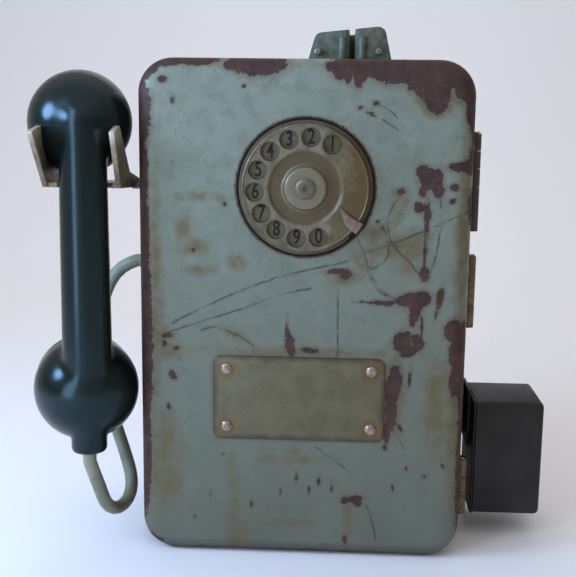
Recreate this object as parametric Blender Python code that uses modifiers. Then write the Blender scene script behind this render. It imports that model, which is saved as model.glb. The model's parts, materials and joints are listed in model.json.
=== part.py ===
"""Wall and table payphone: a hinged steel front on a deep steel case, a rotary dial with its
geared mechanism, a handset resting in a sprung cradle, a coin entry and a small side box.

Metres, +Z up. X runs to the right seen from the front and Y runs away from the viewer. The
origin is the middle of the case's flat underside.
"""

from math import acos, atan, ceil, cos, hypot, pi, radians, sin, sqrt, tan

import bmesh
import bpy
from mathutils import Matrix, Vector

# General fits
fit_gap = 0.0003
weld_distance = 0.000001
cut_overrun = 0.004
sheet = 0.0015

# Casing: the case stands on the table, the front is hinged to its right edge
case_width = 0.200
case_height = 0.308
case_depth = 0.096
door_depth = 0.0358
corner_radius = 0.021
door_edge_radius = 0.010
case_back_radius = 0.004
case_lip = 0.009
door_reveal = 0.0005
wall_hole_radius = 0.0035
wall_hole_spacing_x = 0.110
wall_hole_low_z = 0.080
wall_hole_drop = 0.046
keyhole_head_radius = 0.0062
keyhole_rise = 0.011

# Hinges on the right edge
hinge_out = 0.0043
knuckle_radius = 0.0036
knuckle_space = 0.0004
hinge_pin_radius = 0.0018
hinge_pin_play = 0.0002
hinge_pin_head = 0.0009
hinge_pin_head_radius = 0.0027
leaf_sheet = 0.0012
leaf_width = 0.0100
upper_hinge_drop = 0.1036
upper_knuckles = (0.0276, 0.0114, 0.0109, 0.0107)
middle_hinge_space = 0.0157
middle_knuckles = (0.0138, 0.0320)
lower_hinge_z = 0.0180
lower_knuckles = (0.0125, 0.0125, 0.0125)

# Dial on the front; its depths count forwards from the front face
dial_x = 0.0010
dial_drop = 0.0757
dial_opening_radius = 0.0410
number_plate_radius = 0.0400
number_plate_front = 0.0010
number_plate_bush_radius = 0.0060
finger_wheel_radius = 0.0378
finger_wheel_back = 0.0018
finger_wheel_front = 0.0040
finger_wheel_rim_front = 0.0047
finger_wheel_rim_width = 0.0014
finger_dish_radius = 0.0222
finger_dish_front = 0.0029
finger_boss_radius = 0.0126
finger_boss_front = 0.0064
finger_boss_edge = 0.0010
finger_hole_count = 10
finger_hole_circle = 0.0300
finger_hole_radius = 0.0058
first_finger_angle = radians(59.0)
finger_hole_pitch = radians(25.2)
centre_screw_radius = 0.0060
centre_screw_height = 0.0022
centre_screw_top_radius = 0.0045
stop_tip_radius = 0.0237
stop_tip_angle = radians(-28.0)
stop_start_angle = radians(-30.5)
stop_end_angle = radians(-41.0)
stop_sheet = 0.0012
stop_clearance = 0.0006
stop_foot_width = 0.0016
stop_lower_bulge_share = 0.14
stop_upper_hollow_share = 0.05
dial_base_radius = 0.0460
dial_base_sheet = 0.0015
dial_shaft_radius = 0.0030
bush_wall = 0.0028
bush_length = 0.0060

# Dial mechanism: levels count backwards from the back of the dial base
main_gear_teeth = 56
pinion_teeth = 14
main_module = 0.00080
second_gear_teeth = 42
governor_pinion_teeth = 14
second_module = 0.00060
addendum_share = 0.80
dedendum_share = 1.15
tooth_thinning = 0.00016
pressure_angle = radians(20.0)
main_gear_level = 0.0070
gear_thickness = 0.0020
second_gear_level = 0.0115
governor_level = 0.0155
governor_height = 0.0070
bridge_level = 0.0245
bridge_sheet = 0.0015
bridge_rim = 0.0050
pillar_radius = 0.0030
pillar_circle = 0.0400
pillar_angles = (radians(30.0), radians(150.0), radians(285.0))
pinion_angle = radians(215.0)
governor_angle = radians(325.0)
pinion_spindle_radius = 0.0015
governor_spindle_radius = 0.0012
spindle_play = 0.0003
governor_cup_radius = 0.0120
governor_cup_wall = 0.0010
governor_weight_radius = 0.0027
governor_arm_reach = 0.0072
governor_arm_width = 0.0024
dial_spring_radius = 0.0062
dial_spring_wire = 0.0005
dial_spring_curls = 8
contact_block_size = (0.0080, 0.0100)
contact_block_angle = radians(172.0)
contact_block_circle = 0.0385
contact_leaf_sheet = 0.0005
contact_leaf_length = 0.0200
contact_leaf_height = 0.0040

# Front trim
nameplate_width = 0.1050
nameplate_height = 0.0526
nameplate_sheet = 0.0010
nameplate_corner = 0.0050
nameplate_x = -0.0015
nameplate_z = 0.1030
catch_sheet = 0.0020
catch_foot_width = 0.0140
catch_height = 0.0160
catch_lip_reach = 0.0040
catch_gap = 0.0010

# Coin entry on top and the coin path below it
entry_x = 0.0257
entry_width = 0.0524
entry_front = 0.0500
entry_plate_sheet = 0.0025
entry_left_height = 0.0170
entry_right_height = 0.0215
entry_shoulder = 0.0048
entry_corner = 0.0050
entry_block_depth = 0.0290
entry_block_inset = 0.0015
coin_slot_offset = 0.0014
coin_slot_width = 0.0030
coin_slot_mouth = 0.0080
coin_slot_depth = 0.0230
entry_ridge_radius = 0.0026
entry_ridge_gap = 0.0004
channel_wall = 0.0012
channel_gap = 0.0034
channel_length = 0.1400
channel_window = 0.0100
channel_window_depth = 0.0120

# Coin gate and its magnet
gate_drop = 0.0240
gate_plate = 0.0015
gate_width = 0.0150
gate_pivot_out = 0.0060
gate_knuckle_radius = 0.0024
gate_tab_low = 0.0030
gate_tab_sheet = 0.0012
gate_tab_width = 0.0080
gate_pin_radius = 0.0014
gate_ear_sheet = 0.0016
magnet_core_radius = 0.0035
magnet_coil_radius = 0.0105
magnet_spool_wall = 0.0012
magnet_coil_length = 0.0240
magnet_air_gap = 0.0036
magnet_yoke_sheet = 0.0020
magnet_yoke_rise = 0.0090

# Chassis, electrics and cash box
chassis_sheet = 0.0015
chassis_stand = 0.0100
chassis_side_gap = 0.0150
chassis_low_z = 0.0780
chassis_top_gap = 0.0180
chassis_corner = 0.0080
stand_off_inset = 0.0120
stand_off_radius = 0.0040
core_width = 0.0420
core_height = 0.0360
core_stack = 0.0160
core_leg = 0.0100
core_yoke = 0.0060
core_x = -0.0480
core_drop = 0.0300
coil_wall = 0.0050
coil_space = 0.0006
condenser_size = (0.0300, 0.0180, 0.0420)
condenser_x = 0.0170
condenser_z = 0.1080
relay_size = (0.0260, 0.0280, 0.0340)
relay_x = 0.0020
relay_drop = 0.0600
terminal_size = (0.0700, 0.0100, 0.0160)
terminal_x = -0.0400
terminal_z = 0.0900
terminal_count = 6
terminal_screw_radius = 0.0024
terminal_screw_height = 0.0020
cash_box_width = 0.1200
cash_box_depth = 0.0700
cash_box_height = 0.0600
cash_box_sheet = 0.0012
cash_box_corner = 0.0040

# Cradle for the handset on the left
lever_thickness = 0.0040
lever_front = 0.0395
lever_width = 0.0210
lever_drop = 0.0809
pivot_in = 0.0400
pivot_boss_radius = 0.0065
pivot_pin_radius = 0.0020
pivot_play = 0.0002
lever_tail = 0.0290
lever_travel = radians(6.0)
cradle_out = 0.0080
cradle_width = 0.0470
cradle_sheet = 0.0030
cradle_floor_front = -0.0065
cradle_floor_front_rise = 0.0067
cradle_tip_front = -0.0345
cradle_tip_front_rise = 0.0369
cradle_tip_rear = -0.0130
cradle_tip_rear_rise = 0.0404
# The right plate's tip stands further back than the left one's, clear of the turned handset
cradle_right_front_back = 0.0115
cradle_right_rear_back = 0.0055
cradle_rear = 0.0200
cradle_rear_rise = 0.0119
cradle_corner = 0.0030
cradle_seat_gap = 0.0004
cradle_neck_gap = 0.0025
shelf_sheet = 0.0020
shelf_drop = 0.0211
shelf_width = 0.0240
cheek_sheet = 0.0016
cheek_gap = 0.0006
lever_spring_radius = 0.0036
lever_spring_wire = 0.0005
lever_spring_curls = 8
lever_spring_reach = 0.0240
switch_block_width = 0.0100
switch_block_height = 0.0150
switch_leaf_sheet = 0.0006
switch_leaf_count = 3
switch_leaf_space = 0.0034
switch_leaf_length = 0.0260

# Handset, hanging upright with its caps turned to the back and left
handset_out = 0.0298
handset_front = -0.0091
handset_turn = radians(17.3)
ear_offset = 0.0210
ear_radius = 0.0312
mouth_offset = 0.0170
mouth_radius = 0.0324
bowl_wall = 0.0032
bowl_depth = 0.0090
ear_rise = 0.0417
handset_span = 0.1640
handle_radius = 0.0144
handle_top_rise = 0.0145
collar_radius = 0.0109
collar_drop = 0.0358
collar_edge = 0.0025
# The handle's width along its straight part, then along and back at its rounded top
handle_along_shares = (0.0, 0.15, 0.3, 0.5, 0.8, 1.0)
handle_width_shares = (1.04, 1.05, 1.03, 1.0, 0.98, 0.97)
handle_top_shares = ((0.5, 0.05, 0.93), (1.0, 0.25, 0.80))
cap_height = 0.0130
cap_face_radius = 0.0235
cap_wall = 0.0026
cap_hole_radius = 0.0015
cap_hole_circles = (0.0065, 0.0130)
cap_hole_counts = (5, 9)
capsule_radius = 0.0255
capsule_height = 0.0120

# Cord from the case's left side to the foot of the handset
cord_radius = 0.0042
cord_exit_depth = 0.0500
cord_exit_drop = 0.0476
cord_step_share = 0.94
cord_straight_share = 0.5
cord_end_share = 0.8
bushing_neck_radius = 0.0052
bushing_flange_radius = 0.0075
bushing_out = 0.0060
bushing_in = 0.0050
bushing_bore = 0.0023
# Points of the cord from the bushing to the handset: out from the case's left side, back
# from the front face, and up from the middle of the mouthpiece
cord_points = (
    (0.0152, 0.0500, 0.0740),
    (0.0194, 0.0501, 0.0721),
    (0.0231, 0.0502, 0.0691),
    (0.0262, 0.0503, 0.0651),
    (0.0290, 0.0505, 0.0604),
    (0.0318, 0.0508, 0.0544),
    (0.0340, 0.0512, 0.0472),
    (0.0354, 0.0516, 0.0372),
    (0.0359, 0.0519, 0.0242),
    (0.0358, 0.0520, 0.0092),
    (0.0346, 0.0516, -0.0068),
    (0.0317, 0.0507, -0.0213),
    (0.0277, 0.0494, -0.0338),
    (0.0232, 0.0472, -0.0463),
    (0.0190, 0.0442, -0.0568),
    (0.0153, 0.0408, -0.0658),
    (0.0125, 0.0364, -0.0727),
    (0.0126, 0.0330, -0.0783),
    (0.0138, 0.0280, -0.0824),
    (0.0163, 0.0214, -0.0845),
    (0.0197, 0.0139, -0.0837),
    (0.0226, 0.0073, -0.0797),
    (0.0246, 0.0029, -0.0733),
    (0.0257, -0.0015, -0.0618),
    (0.0279, -0.0062, -0.0528),
)

# Small box on a bracket on the right side, behind the hinge
side_box_front = 0.0400
side_box_depth = 0.0520
side_box_out = 0.0115
side_box_width = 0.0457
side_box_low_z = 0.0156
side_box_high_z = 0.0921
side_box_sheet = 0.0016
side_box_edge = 0.0035
bracket_front = 0.0530
bracket_back = 0.0860
bracket_low_z = 0.0580
bracket_high_z = 0.0960
bracket_sheet = 0.0020

# Lock in the left side
lock_radius = 0.0085
lock_flange_radius = 0.0110
lock_flange = 0.0016
lock_length = 0.0150
lock_z = 0.1050
lock_back = 0.0560
lock_key_width = 0.0016
lock_key_height = 0.0080
lock_face_radius = 0.0094
cam_sheet = 0.0016
cam_width = 0.0080
cam_length = 0.0200

# Places worked out from the sizes above
half_width = case_width / 2
case_front_y = -case_depth / 2
case_back_y = case_depth / 2
door_back_y = case_front_y - fit_gap
front_y = door_back_y - door_depth
hinge_x = half_width + hinge_out
hinge_y = case_front_y - fit_gap / 2
chassis_y = case_back_y - sheet - chassis_stand
dial_z = case_height - dial_drop
slot_x = entry_x + coin_slot_offset
entry_y = front_y + entry_front
entry_block_y = entry_y + entry_plate_sheet + fit_gap
slot_back_y = entry_block_y + coin_slot_depth
channel_low_z = case_height - channel_length
lever_y = front_y + lever_front
lever_z = case_height - lever_drop
pivot_x = -half_width + pivot_in
pivot_z = lever_z + lever_thickness / 2
shelf_z = lever_z - shelf_drop
cradle_right_x = -half_width - cradle_out
cradle_left_x = cradle_right_x - cradle_width
cradle_floor_front_z = lever_z + cradle_floor_front_rise
cradle_tip_rear_z = lever_z + cradle_tip_rear_rise
handset_x = -half_width - handset_out
handset_y = front_y + handset_front
ear_z = lever_z + ear_rise
mouth_z = ear_z - handset_span
collar_low_z = mouth_z - collar_drop
cord_exit_z = lever_z - cord_exit_drop
side_box_left_x = half_width + side_box_out
side_box_right_x = side_box_left_x + side_box_width
chassis_width = case_width - 2 * chassis_side_gap
chassis_high_z = case_height - chassis_top_gap
core_z = shelf_z - core_drop

parts = bpy.data.collections.new("payphone")
cutters = bpy.data.collections.new("payphone_cutters")


def clear_scene():
    for thing in list(bpy.data.objects):
        bpy.data.objects.remove(thing, do_unlink=True)
    for folder in (parts, cutters):
        bpy.context.scene.collection.children.link(folder)


def channel_value(value):
    """One sRGB channel, 0 to 1, as the linear value that a shader takes."""
    low_end, slope, lift, power = 0.04045, 12.92, 0.055, 2.4
    return value / slope if value <= low_end else ((value + lift) / (1 + lift)) ** power


def finish(name, colour, roughness, metallic=0.0):
    """A material with a plain colour written as sRGB hex."""
    material = bpy.data.materials.new(name)
    material.use_nodes = True
    shader = material.node_tree.nodes["Principled BSDF"]
    channels = [int(colour[i : i + 2], 16) / 255 for i in (0, 2, 4)]
    linear = [channel_value(c) for c in channels] + [1.0]
    shader.inputs["Base Color"].default_value = linear
    shader.inputs["Roughness"].default_value = roughness
    shader.inputs["Metallic"].default_value = metallic
    material.diffuse_color = linear
    return material


def add_object(name, data, material=None):
    """A named object in the payphone's collection, or a hidden shape when it has no material."""
    thing = bpy.data.objects.new(name, data)
    if material is None:
        cutters.objects.link(thing)
        thing.hide_render = True
        thing.display_type = "WIRE"
    else:
        parts.objects.link(thing)
        data.materials.append(material)
    return thing


def axis_empty(name, place, parent=None, turn=0.0):
    """An empty on a joint's axis, which carries the pieces that move with it."""
    empty = bpy.data.objects.new(name, None)
    empty.empty_display_size = corner_radius
    empty.location = place
    empty.rotation_euler = (0, 0, turn)
    parts.objects.link(empty)
    if parent:
        hang(empty, parent)
    return empty


def hang(child, parent):
    """Parents a piece and keeps it where it is in the world."""
    bpy.context.view_layer.update()
    child.parent = parent
    child.matrix_parent_inverse = parent.matrix_world.inverted()


def mesh_from(name, form):
    mesh = bpy.data.meshes.new(name)
    form.to_mesh(mesh)
    form.free()
    return mesh


def smooth(thing, angle=radians(35)):
    thing.data.shade_smooth()
    thing.data.set_sharp_from_angle(angle=angle)
    return thing


def block(name, low, high, material=None):
    """A box between two corners, with its origin at its middle."""
    low, high = Vector(low), Vector(high)
    form = bmesh.new()
    bmesh.ops.create_cube(form, size=1)
    bmesh.ops.scale(form, vec=high - low, verts=form.verts)
    thing = add_object(name, mesh_from(name, form), material)
    thing.location = (low + high) / 2
    return thing


def soften(thing, width, segments=2):
    """Rounds the sharp edges of a piece."""
    bevel = thing.modifiers.new("rounded edges", "BEVEL")
    bevel.width = width
    bevel.segments = segments
    bevel.limit_method = "ANGLE"
    return thing


def rod(name, start, end, radius, sides, material=None, end_radius=None):
    """A round bar between two points, or a cone with another radius at its end."""
    start, end = Vector(start), Vector(end)
    form = bmesh.new()
    bmesh.ops.create_cone(
        form,
        cap_ends=True,
        segments=sides,
        radius1=radius,
        radius2=radius if end_radius is None else end_radius,
        depth=(end - start).length,
    )
    thing = add_object(name, mesh_from(name, form), material)
    thing.location = (start + end) / 2
    thing.rotation_euler = (end - start).to_track_quat("Z", "Y").to_euler()
    return smooth(thing)


def turned(name, profile, steps, material, place, rotation):
    """A profile of (radius, height) turned about the piece's own Z axis."""
    form = bmesh.new()
    points = [form.verts.new((radius, 0, height)) for radius, height in profile]
    for first, second in zip(points, points[1:]):
        form.edges.new((first, second))
    if profile[0][0] or profile[-1][0]:
        form.edges.new((points[-1], points[0]))
    thing = add_object(name, mesh_from(name, form), material)
    screw = thing.modifiers.new("turned", "SCREW")
    screw.steps = steps
    screw.render_steps = steps
    screw.use_merge_vertices = True
    screw.merge_threshold = weld_distance
    thing.location = place
    thing.rotation_euler = rotation
    return thing


def facing_front(name, profile, steps, material, place):
    """A turned piece whose heights count forwards, towards the viewer."""
    return turned(name, profile, steps, material, place, (pi / 2, 0, 0))


def plate(name, outlines, thickness, plane, place, material=None):
    """A flat piece from a closed outline, with any holes after it.

    plane is the pair of world axes that the outline is drawn in. The thickness is centred on
    the piece's origin, along the third axis.
    """
    curve = bpy.data.curves.new(name, "CURVE")
    curve.dimensions = "2D"
    curve.fill_mode = "BOTH"
    curve.extrude = thickness / 2
    curve.render_resolution_u = 0
    for outline in outlines:
        spline = curve.splines.new("POLY")
        spline.points.add(len(outline) - 1)
        for point, (across, up) in zip(spline.points, outline):
            point.co = (across, up, 0, 1)
        spline.use_cyclic_u = True
    thing = bpy.data.objects.new(name + "_outline", curve)
    cutters.objects.link(thing)
    solid = as_mesh(thing, name, material)
    turns = {"XZ": (pi / 2, 0, 0), "YZ": (pi / 2, 0, pi / 2), "XY": (0, 0, 0)}
    solid.rotation_euler = turns[plane]
    solid.location = place
    return solid


def as_mesh(curve_object, name, material=None):
    """A curve object turned into a closed mesh object in the same place."""
    bpy.context.view_layer.update()
    graph = bpy.context.evaluated_depsgraph_get()
    mesh = bpy.data.meshes.new_from_object(curve_object.evaluated_get(graph))
    form = bmesh.new()
    form.from_mesh(mesh)
    bmesh.ops.remove_doubles(form, verts=form.verts, dist=weld_distance)
    bmesh.ops.recalc_face_normals(form, faces=form.faces)
    form.to_mesh(mesh)
    form.free()
    mesh.materials.clear()
    solid = add_object(name, mesh, material)
    solid.matrix_world = curve_object.matrix_world
    bpy.data.objects.remove(curve_object, do_unlink=True)
    return solid


def combine(thing, other, operation):
    """Joins or cuts a piece with another shape, which stays as a hidden wire shape."""
    boolean = thing.modifiers.new(operation.lower(), "BOOLEAN")
    boolean.operation = operation
    boolean.object = other
    boolean.solver = "EXACT"
    return thing


def join(thing, *others):
    for other in others:
        combine(thing, other, "UNION")
    return thing


def cut(thing, *others):
    for other in others:
        combine(thing, other, "DIFFERENCE")
    return thing


def circle(radius, count, centre=(0.0, 0.0)):
    steps = [2 * pi * i / count for i in range(count)]
    return [(centre[0] + radius * cos(a), centre[1] + radius * sin(a)) for a in steps]


def rounded(points, radius, steps=3):
    """The outline with each corner replaced by an arc."""
    result = []
    count = len(points)
    for i, point in enumerate(points):
        here = Vector(point)
        back = (Vector(points[i - 1]) - here).normalized()
        ahead = (Vector(points[(i + 1) % count]) - here).normalized()
        half = acos(max(-1, min(1, back.dot(ahead)))) / 2
        reach = radius / tan(half)
        middle = here + (back + ahead).normalized() * radius / sin(half)
        start = here + back * reach - middle
        end = here + ahead * reach - middle
        turn = start.angle_signed(end)
        for k in range(steps + 1):
            swing = -turn * k / steps
            result.append(tuple(middle + Matrix.Rotation(swing, 2) @ start))
    return result


def rectangle(width, height):
    return [
        (-width / 2, -height / 2),
        (width / 2, -height / 2),
        (width / 2, height / 2),
        (-width / 2, height / 2),
    ]


def pan(name, size, corner, edge, lip, open_side, material):
    """A pressed sheet pan: its outline corners, its closed side's edges and an inturned lip.

    size is width, depth and height. open_side is -1 for an open front and 1 for an open back.
    """
    form = bmesh.new()
    bmesh.ops.create_cube(form, size=1)
    bmesh.ops.scale(form, vec=size, verts=form.verts)
    deep_edges = [
        e for e in form.edges if abs((e.verts[0].co - e.verts[1].co).y) > size[1] / 2
    ]
    bmesh.ops.bevel(
        form,
        geom=deep_edges,
        offset=corner,
        segments=6,
        profile=0.5,
        affect="EDGES",
    )
    form.faces.ensure_lookup_table()
    closed = max(form.faces, key=lambda f: -open_side * f.calc_center_median().y)
    bmesh.ops.bevel(
        form,
        geom=list(closed.edges),
        offset=edge,
        segments=4,
        profile=0.5,
        affect="EDGES",
    )
    opened = max(form.faces, key=lambda f: open_side * f.calc_center_median().y)
    if lip:
        bmesh.ops.inset_individual(form, faces=[opened], thickness=lip)
    bmesh.ops.delete(form, geom=[opened], context="FACES_ONLY")
    thing = add_object(name, mesh_from(name, form), material)
    wall = thing.modifiers.new("sheet", "SOLIDIFY")
    wall.thickness = sheet
    wall.offset = -1
    wall.use_even_offset = True
    return smooth(thing, radians(40))


def rear_case(material):
    """The deep case: coin slot on top, lever slot, lock and cord holes on the left, wall holes."""
    size = (case_width, case_depth, case_height)
    case = pan(
        "rear_case", size, corner_radius, case_back_radius, case_lip, -1, material
    )
    case.location = (0, 0, case_height / 2)
    left_out = -half_width - cut_overrun
    left_in = -half_width + sheet + cut_overrun
    rise = (half_width + pivot_x) * tan(lever_travel)
    lever_slot = block(
        "lever_slot",
        (left_out, lever_y - fit_gap, lever_z - fit_gap - cheek_gap),
        (
            left_in,
            lever_y + lever_width + fit_gap,
            lever_z + lever_thickness + rise + cheek_gap,
        ),
    )
    cord_hole = rod(
        "cord_hole",
        (left_out, front_y + cord_exit_depth, cord_exit_z),
        (left_in, front_y + cord_exit_depth, cord_exit_z),
        bushing_neck_radius + fit_gap,
        12,
    )
    lock_hole = rod(
        "lock_hole",
        (left_out, front_y + lock_back, lock_z),
        (left_in, front_y + lock_back, lock_z),
        lock_radius + fit_gap,
        20,
    )
    coin_hole = block(
        "coin_hole",
        (
            slot_x - coin_slot_width / 2,
            entry_block_y,
            case_height - sheet - cut_overrun,
        ),
        (slot_x + coin_slot_width / 2, slot_back_y, case_height + cut_overrun),
    )
    cut(case, lever_slot, cord_hole, lock_hole, coin_hole)
    for side in (-1, 1):
        for level in (wall_hole_low_z, case_height - wall_hole_drop):
            cut(case, keyhole(side * wall_hole_spacing_x / 2, level))
    return case


def keyhole(x, z):
    """A hole for a screw's head with a narrower slot above it, through the back wall."""
    y_in = case_back_y - sheet - cut_overrun
    y_out = case_back_y + cut_overrun
    reach = sqrt(keyhole_head_radius**2 - wall_hole_radius**2)
    start = atan(wall_hole_radius / reach)
    head_steps, top_steps = 12, 6
    outline = []
    for i in range(head_steps + 1):
        angle = pi / 2 + start + (2 * pi - 2 * start) * i / head_steps
        outline.append(
            (keyhole_head_radius * cos(angle), keyhole_head_radius * sin(angle))
        )
    for i in range(top_steps + 1):
        angle = pi * i / top_steps
        outline.append(
            (
                wall_hole_radius * cos(angle),
                keyhole_rise + wall_hole_radius * sin(angle),
            )
        )
    place = (x, (y_in + y_out) / 2, z)
    return plate("keyhole", [outline], y_out - y_in, "XZ", place)


def front_door(material):
    """The pressed front with the round opening for the dial."""
    size = (case_width, door_depth, case_height - 2 * door_reveal)
    door = pan("front_door", size, corner_radius, door_edge_radius, 0, 1, material)
    door.location = (0, front_y + door_depth / 2, case_height / 2)
    opening = rod(
        "dial_opening",
        (dial_x, front_y - cut_overrun, dial_z),
        (dial_x, front_y + sheet + cut_overrun, dial_z),
        dial_opening_radius,
        48,
    )
    return cut(door, opening)


def hinge(name, low_z, knuckles, door_first, materials, door_axis):
    """One barrel hinge: a leaf on the case, a leaf on the door and the pin through both."""
    case_material, door_material, pin_material = materials
    spans = []
    level = low_z
    for length in knuckles:
        spans.append((level, level + length - knuckle_space))
        level += length
    top_z = level - knuckle_space
    for owner, direction in (("case", 1), ("door", -1)):
        first = 0 if (owner == "door") == door_first else 1
        own = spans[first::2]
        leaf = hinge_leaf(
            f"{name}_hinge_{owner}_leaf",
            own,
            (low_z, top_z),
            direction,
            case_material if owner == "case" else door_material,
        )
        if owner == "door":
            hang(leaf, door_axis)
    head_z = top_z + fit_gap
    pin = rod(
        f"{name}_hinge_pin",
        (hinge_x, hinge_y, low_z),
        (hinge_x, hinge_y, head_z + hinge_pin_head / 2),
        hinge_pin_radius,
        12,
        pin_material,
    )
    head = rod(
        f"{name}_pin_head",
        (hinge_x, hinge_y, head_z),
        (hinge_x, hinge_y, head_z + hinge_pin_head),
        hinge_pin_head_radius,
        12,
    )
    join(pin, head)


def hinge_leaf(name, own_spans, full_span, direction, material):
    """A leaf lying on the outside of the casing, with knuckles curled round the pin."""
    near = hinge_y + direction * (knuckle_radius + fit_gap)
    far = hinge_y + direction * (knuckle_radius + fit_gap + leaf_width)
    inner_x = half_width + fit_gap
    leaf = block(
        name,
        (inner_x, min(near, far), full_span[0]),
        (inner_x + leaf_sheet, max(near, far), full_span[1]),
        material,
    )
    middle = (near + far) / 2
    for low, high in own_spans:
        web = block(
            name + "_web",
            (inner_x, min(hinge_y, middle), low),
            (inner_x + leaf_sheet, max(hinge_y, middle), high),
        )
        barrel = rod(
            name + "_barrel",
            (hinge_x, hinge_y, low),
            (hinge_x, hinge_y, high),
            knuckle_radius,
            16,
        )
        join(leaf, web, barrel)
    bore = rod(
        name + "_bore",
        (hinge_x, hinge_y, full_span[0] - cut_overrun),
        (hinge_x, hinge_y, full_span[1] + cut_overrun),
        hinge_pin_radius + hinge_pin_play,
        16,
    )
    return cut(leaf, bore)


def dial_point(radius, angle, forward):
    """A world point from its radius and angle on the dial, forwards of the front face."""
    return Vector(
        (dial_x + radius * cos(angle), front_y - forward, dial_z + radius * sin(angle))
    )


def dial_base_back():
    return sheet + fit_gap + dial_base_sheet


def behind_base(level):
    """How far forwards of the front face a level behind the dial base lies: less than zero."""
    return -dial_base_back() - level


def number_plate(material):
    """The fixed ring that carries the numbers, notched for the foot of the finger stop."""
    profile = [
        (number_plate_bush_radius, number_plate_front),
        (number_plate_radius, number_plate_front),
        (number_plate_radius, -sheet),
        (number_plate_bush_radius, -sheet),
    ]
    ring = facing_front(
        "number_plate", profile, 40, material, (dial_x, front_y, dial_z)
    )
    notch = stop_foot(
        "stop_notch", fit_gap, number_plate_front + cut_overrun, -sheet - cut_overrun
    )
    return cut(ring, notch)


def stop_foot(name, growth, front, back):
    """The upright foot of the finger stop, outside the finger wheel's rim."""
    inner = finger_wheel_radius + stop_clearance - growth
    outer = inner + stop_foot_width + 2 * growth
    spread = growth / outer
    angles = (stop_end_angle - spread, stop_start_angle + spread)
    outline = []
    steps = 3
    for radius, order in ((inner, angles), (outer, angles[::-1])):
        for i in range(steps + 1):
            angle = order[0] + (order[1] - order[0]) * i / steps
            outline.append((radius * cos(angle), radius * sin(angle)))
    middle = (dial_x, front_y - (front + back) / 2, dial_z)
    return plate(name, [outline], front - back, "XZ", middle)


def finger_stop(material):
    """A curved tongue from the rim over the finger wheel, standing on the dial base."""
    low = finger_wheel_rim_front + stop_clearance
    outer = finger_wheel_radius + stop_clearance + stop_foot_width
    tip = Vector(
        (stop_tip_radius * cos(stop_tip_angle), stop_tip_radius * sin(stop_tip_angle))
    )
    start = Vector((outer * cos(stop_start_angle), outer * sin(stop_start_angle)))
    end = Vector((outer * cos(stop_end_angle), outer * sin(stop_end_angle)))
    outline = []
    steps = 4
    sides = (
        (tip, end, -stop_lower_bulge_share),
        (end, start, 0.0),
        (start, tip, stop_upper_hollow_share),
    )
    for first, second, bulge in sides:
        across = (second - first).orthogonal() * bulge
        for i in range(steps):
            share = i / steps
            point = first.lerp(second, share) + across * sin(pi * share)
            outline.append(tuple(point))
    middle = (dial_x, front_y - low - stop_sheet / 2, dial_z)
    tongue = plate("finger_stop", [outline], stop_sheet, "XZ", middle, material)
    foot = stop_foot("stop_foot", 0, low + stop_sheet / 2, -sheet)
    return join(tongue, foot)


def finger_wheel(material):
    """The finger wheel: flat ring with ten holes, a dish and a raised boss in the middle."""
    bore = dial_shaft_radius + fit_gap
    rim_inner = finger_wheel_radius - finger_wheel_rim_width
    profile = [
        (bore, finger_boss_front),
        (finger_boss_radius - finger_boss_edge, finger_boss_front),
        (finger_boss_radius, finger_boss_front - finger_boss_edge),
        (finger_boss_radius, finger_wheel_front),
        (finger_boss_radius + finger_boss_edge, finger_dish_front),
        (finger_dish_radius - finger_boss_edge, finger_dish_front),
        (finger_dish_radius, finger_wheel_front),
        (rim_inner, finger_wheel_front),
        (rim_inner + finger_wheel_rim_width / 3, finger_wheel_rim_front),
        (rim_inner + finger_wheel_rim_width * 2 / 3, finger_wheel_rim_front),
        (finger_wheel_radius, finger_wheel_front),
        (finger_wheel_radius, finger_wheel_back),
        (bore, finger_wheel_back),
    ]
    wheel = facing_front(
        "finger_wheel", profile, 40, material, (dial_x, front_y, dial_z)
    )
    for i in range(finger_hole_count):
        angle = first_finger_angle + i * finger_hole_pitch
        hole = rod(
            "finger_hole",
            dial_point(
                finger_hole_circle, angle, finger_wheel_rim_front + cut_overrun
            ),
            dial_point(finger_hole_circle, angle, finger_wheel_back - cut_overrun),
            finger_hole_radius,
            16,
        )
        cut(wheel, hole)
    return wheel


def centre_screw(material):
    low = finger_boss_front + fit_gap
    top = low + centre_screw_height
    profile = [
        (0, top),
        (centre_screw_top_radius, top),
        (centre_screw_radius, top - centre_screw_height / 2),
        (centre_screw_radius, low),
        (0, low),
    ]
    return facing_front(
        "centre_screw", profile, 24, material, (dial_x, front_y, dial_z)
    )


def dial_shaft(material):
    return rod(
        "dial_shaft",
        dial_point(0, 0, finger_boss_front),
        dial_point(0, 0, behind_base(bridge_level + bridge_sheet)),
        dial_shaft_radius,
        20,
        material,
    )


def dial_base(material):
    """The round plate behind the front that carries the dial, with the shaft's bush."""
    bore = dial_shaft_radius + fit_gap
    front = -sheet - fit_gap
    back = front - dial_base_sheet
    profile = [
        (bore, front),
        (dial_base_radius, front),
        (dial_base_radius, back),
        (bore + bush_wall, back),
        (bore + bush_wall, back - bush_length),
        (bore, back - bush_length),
    ]
    return facing_front("dial_base", profile, 36, material, (dial_x, front_y, dial_z))


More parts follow.
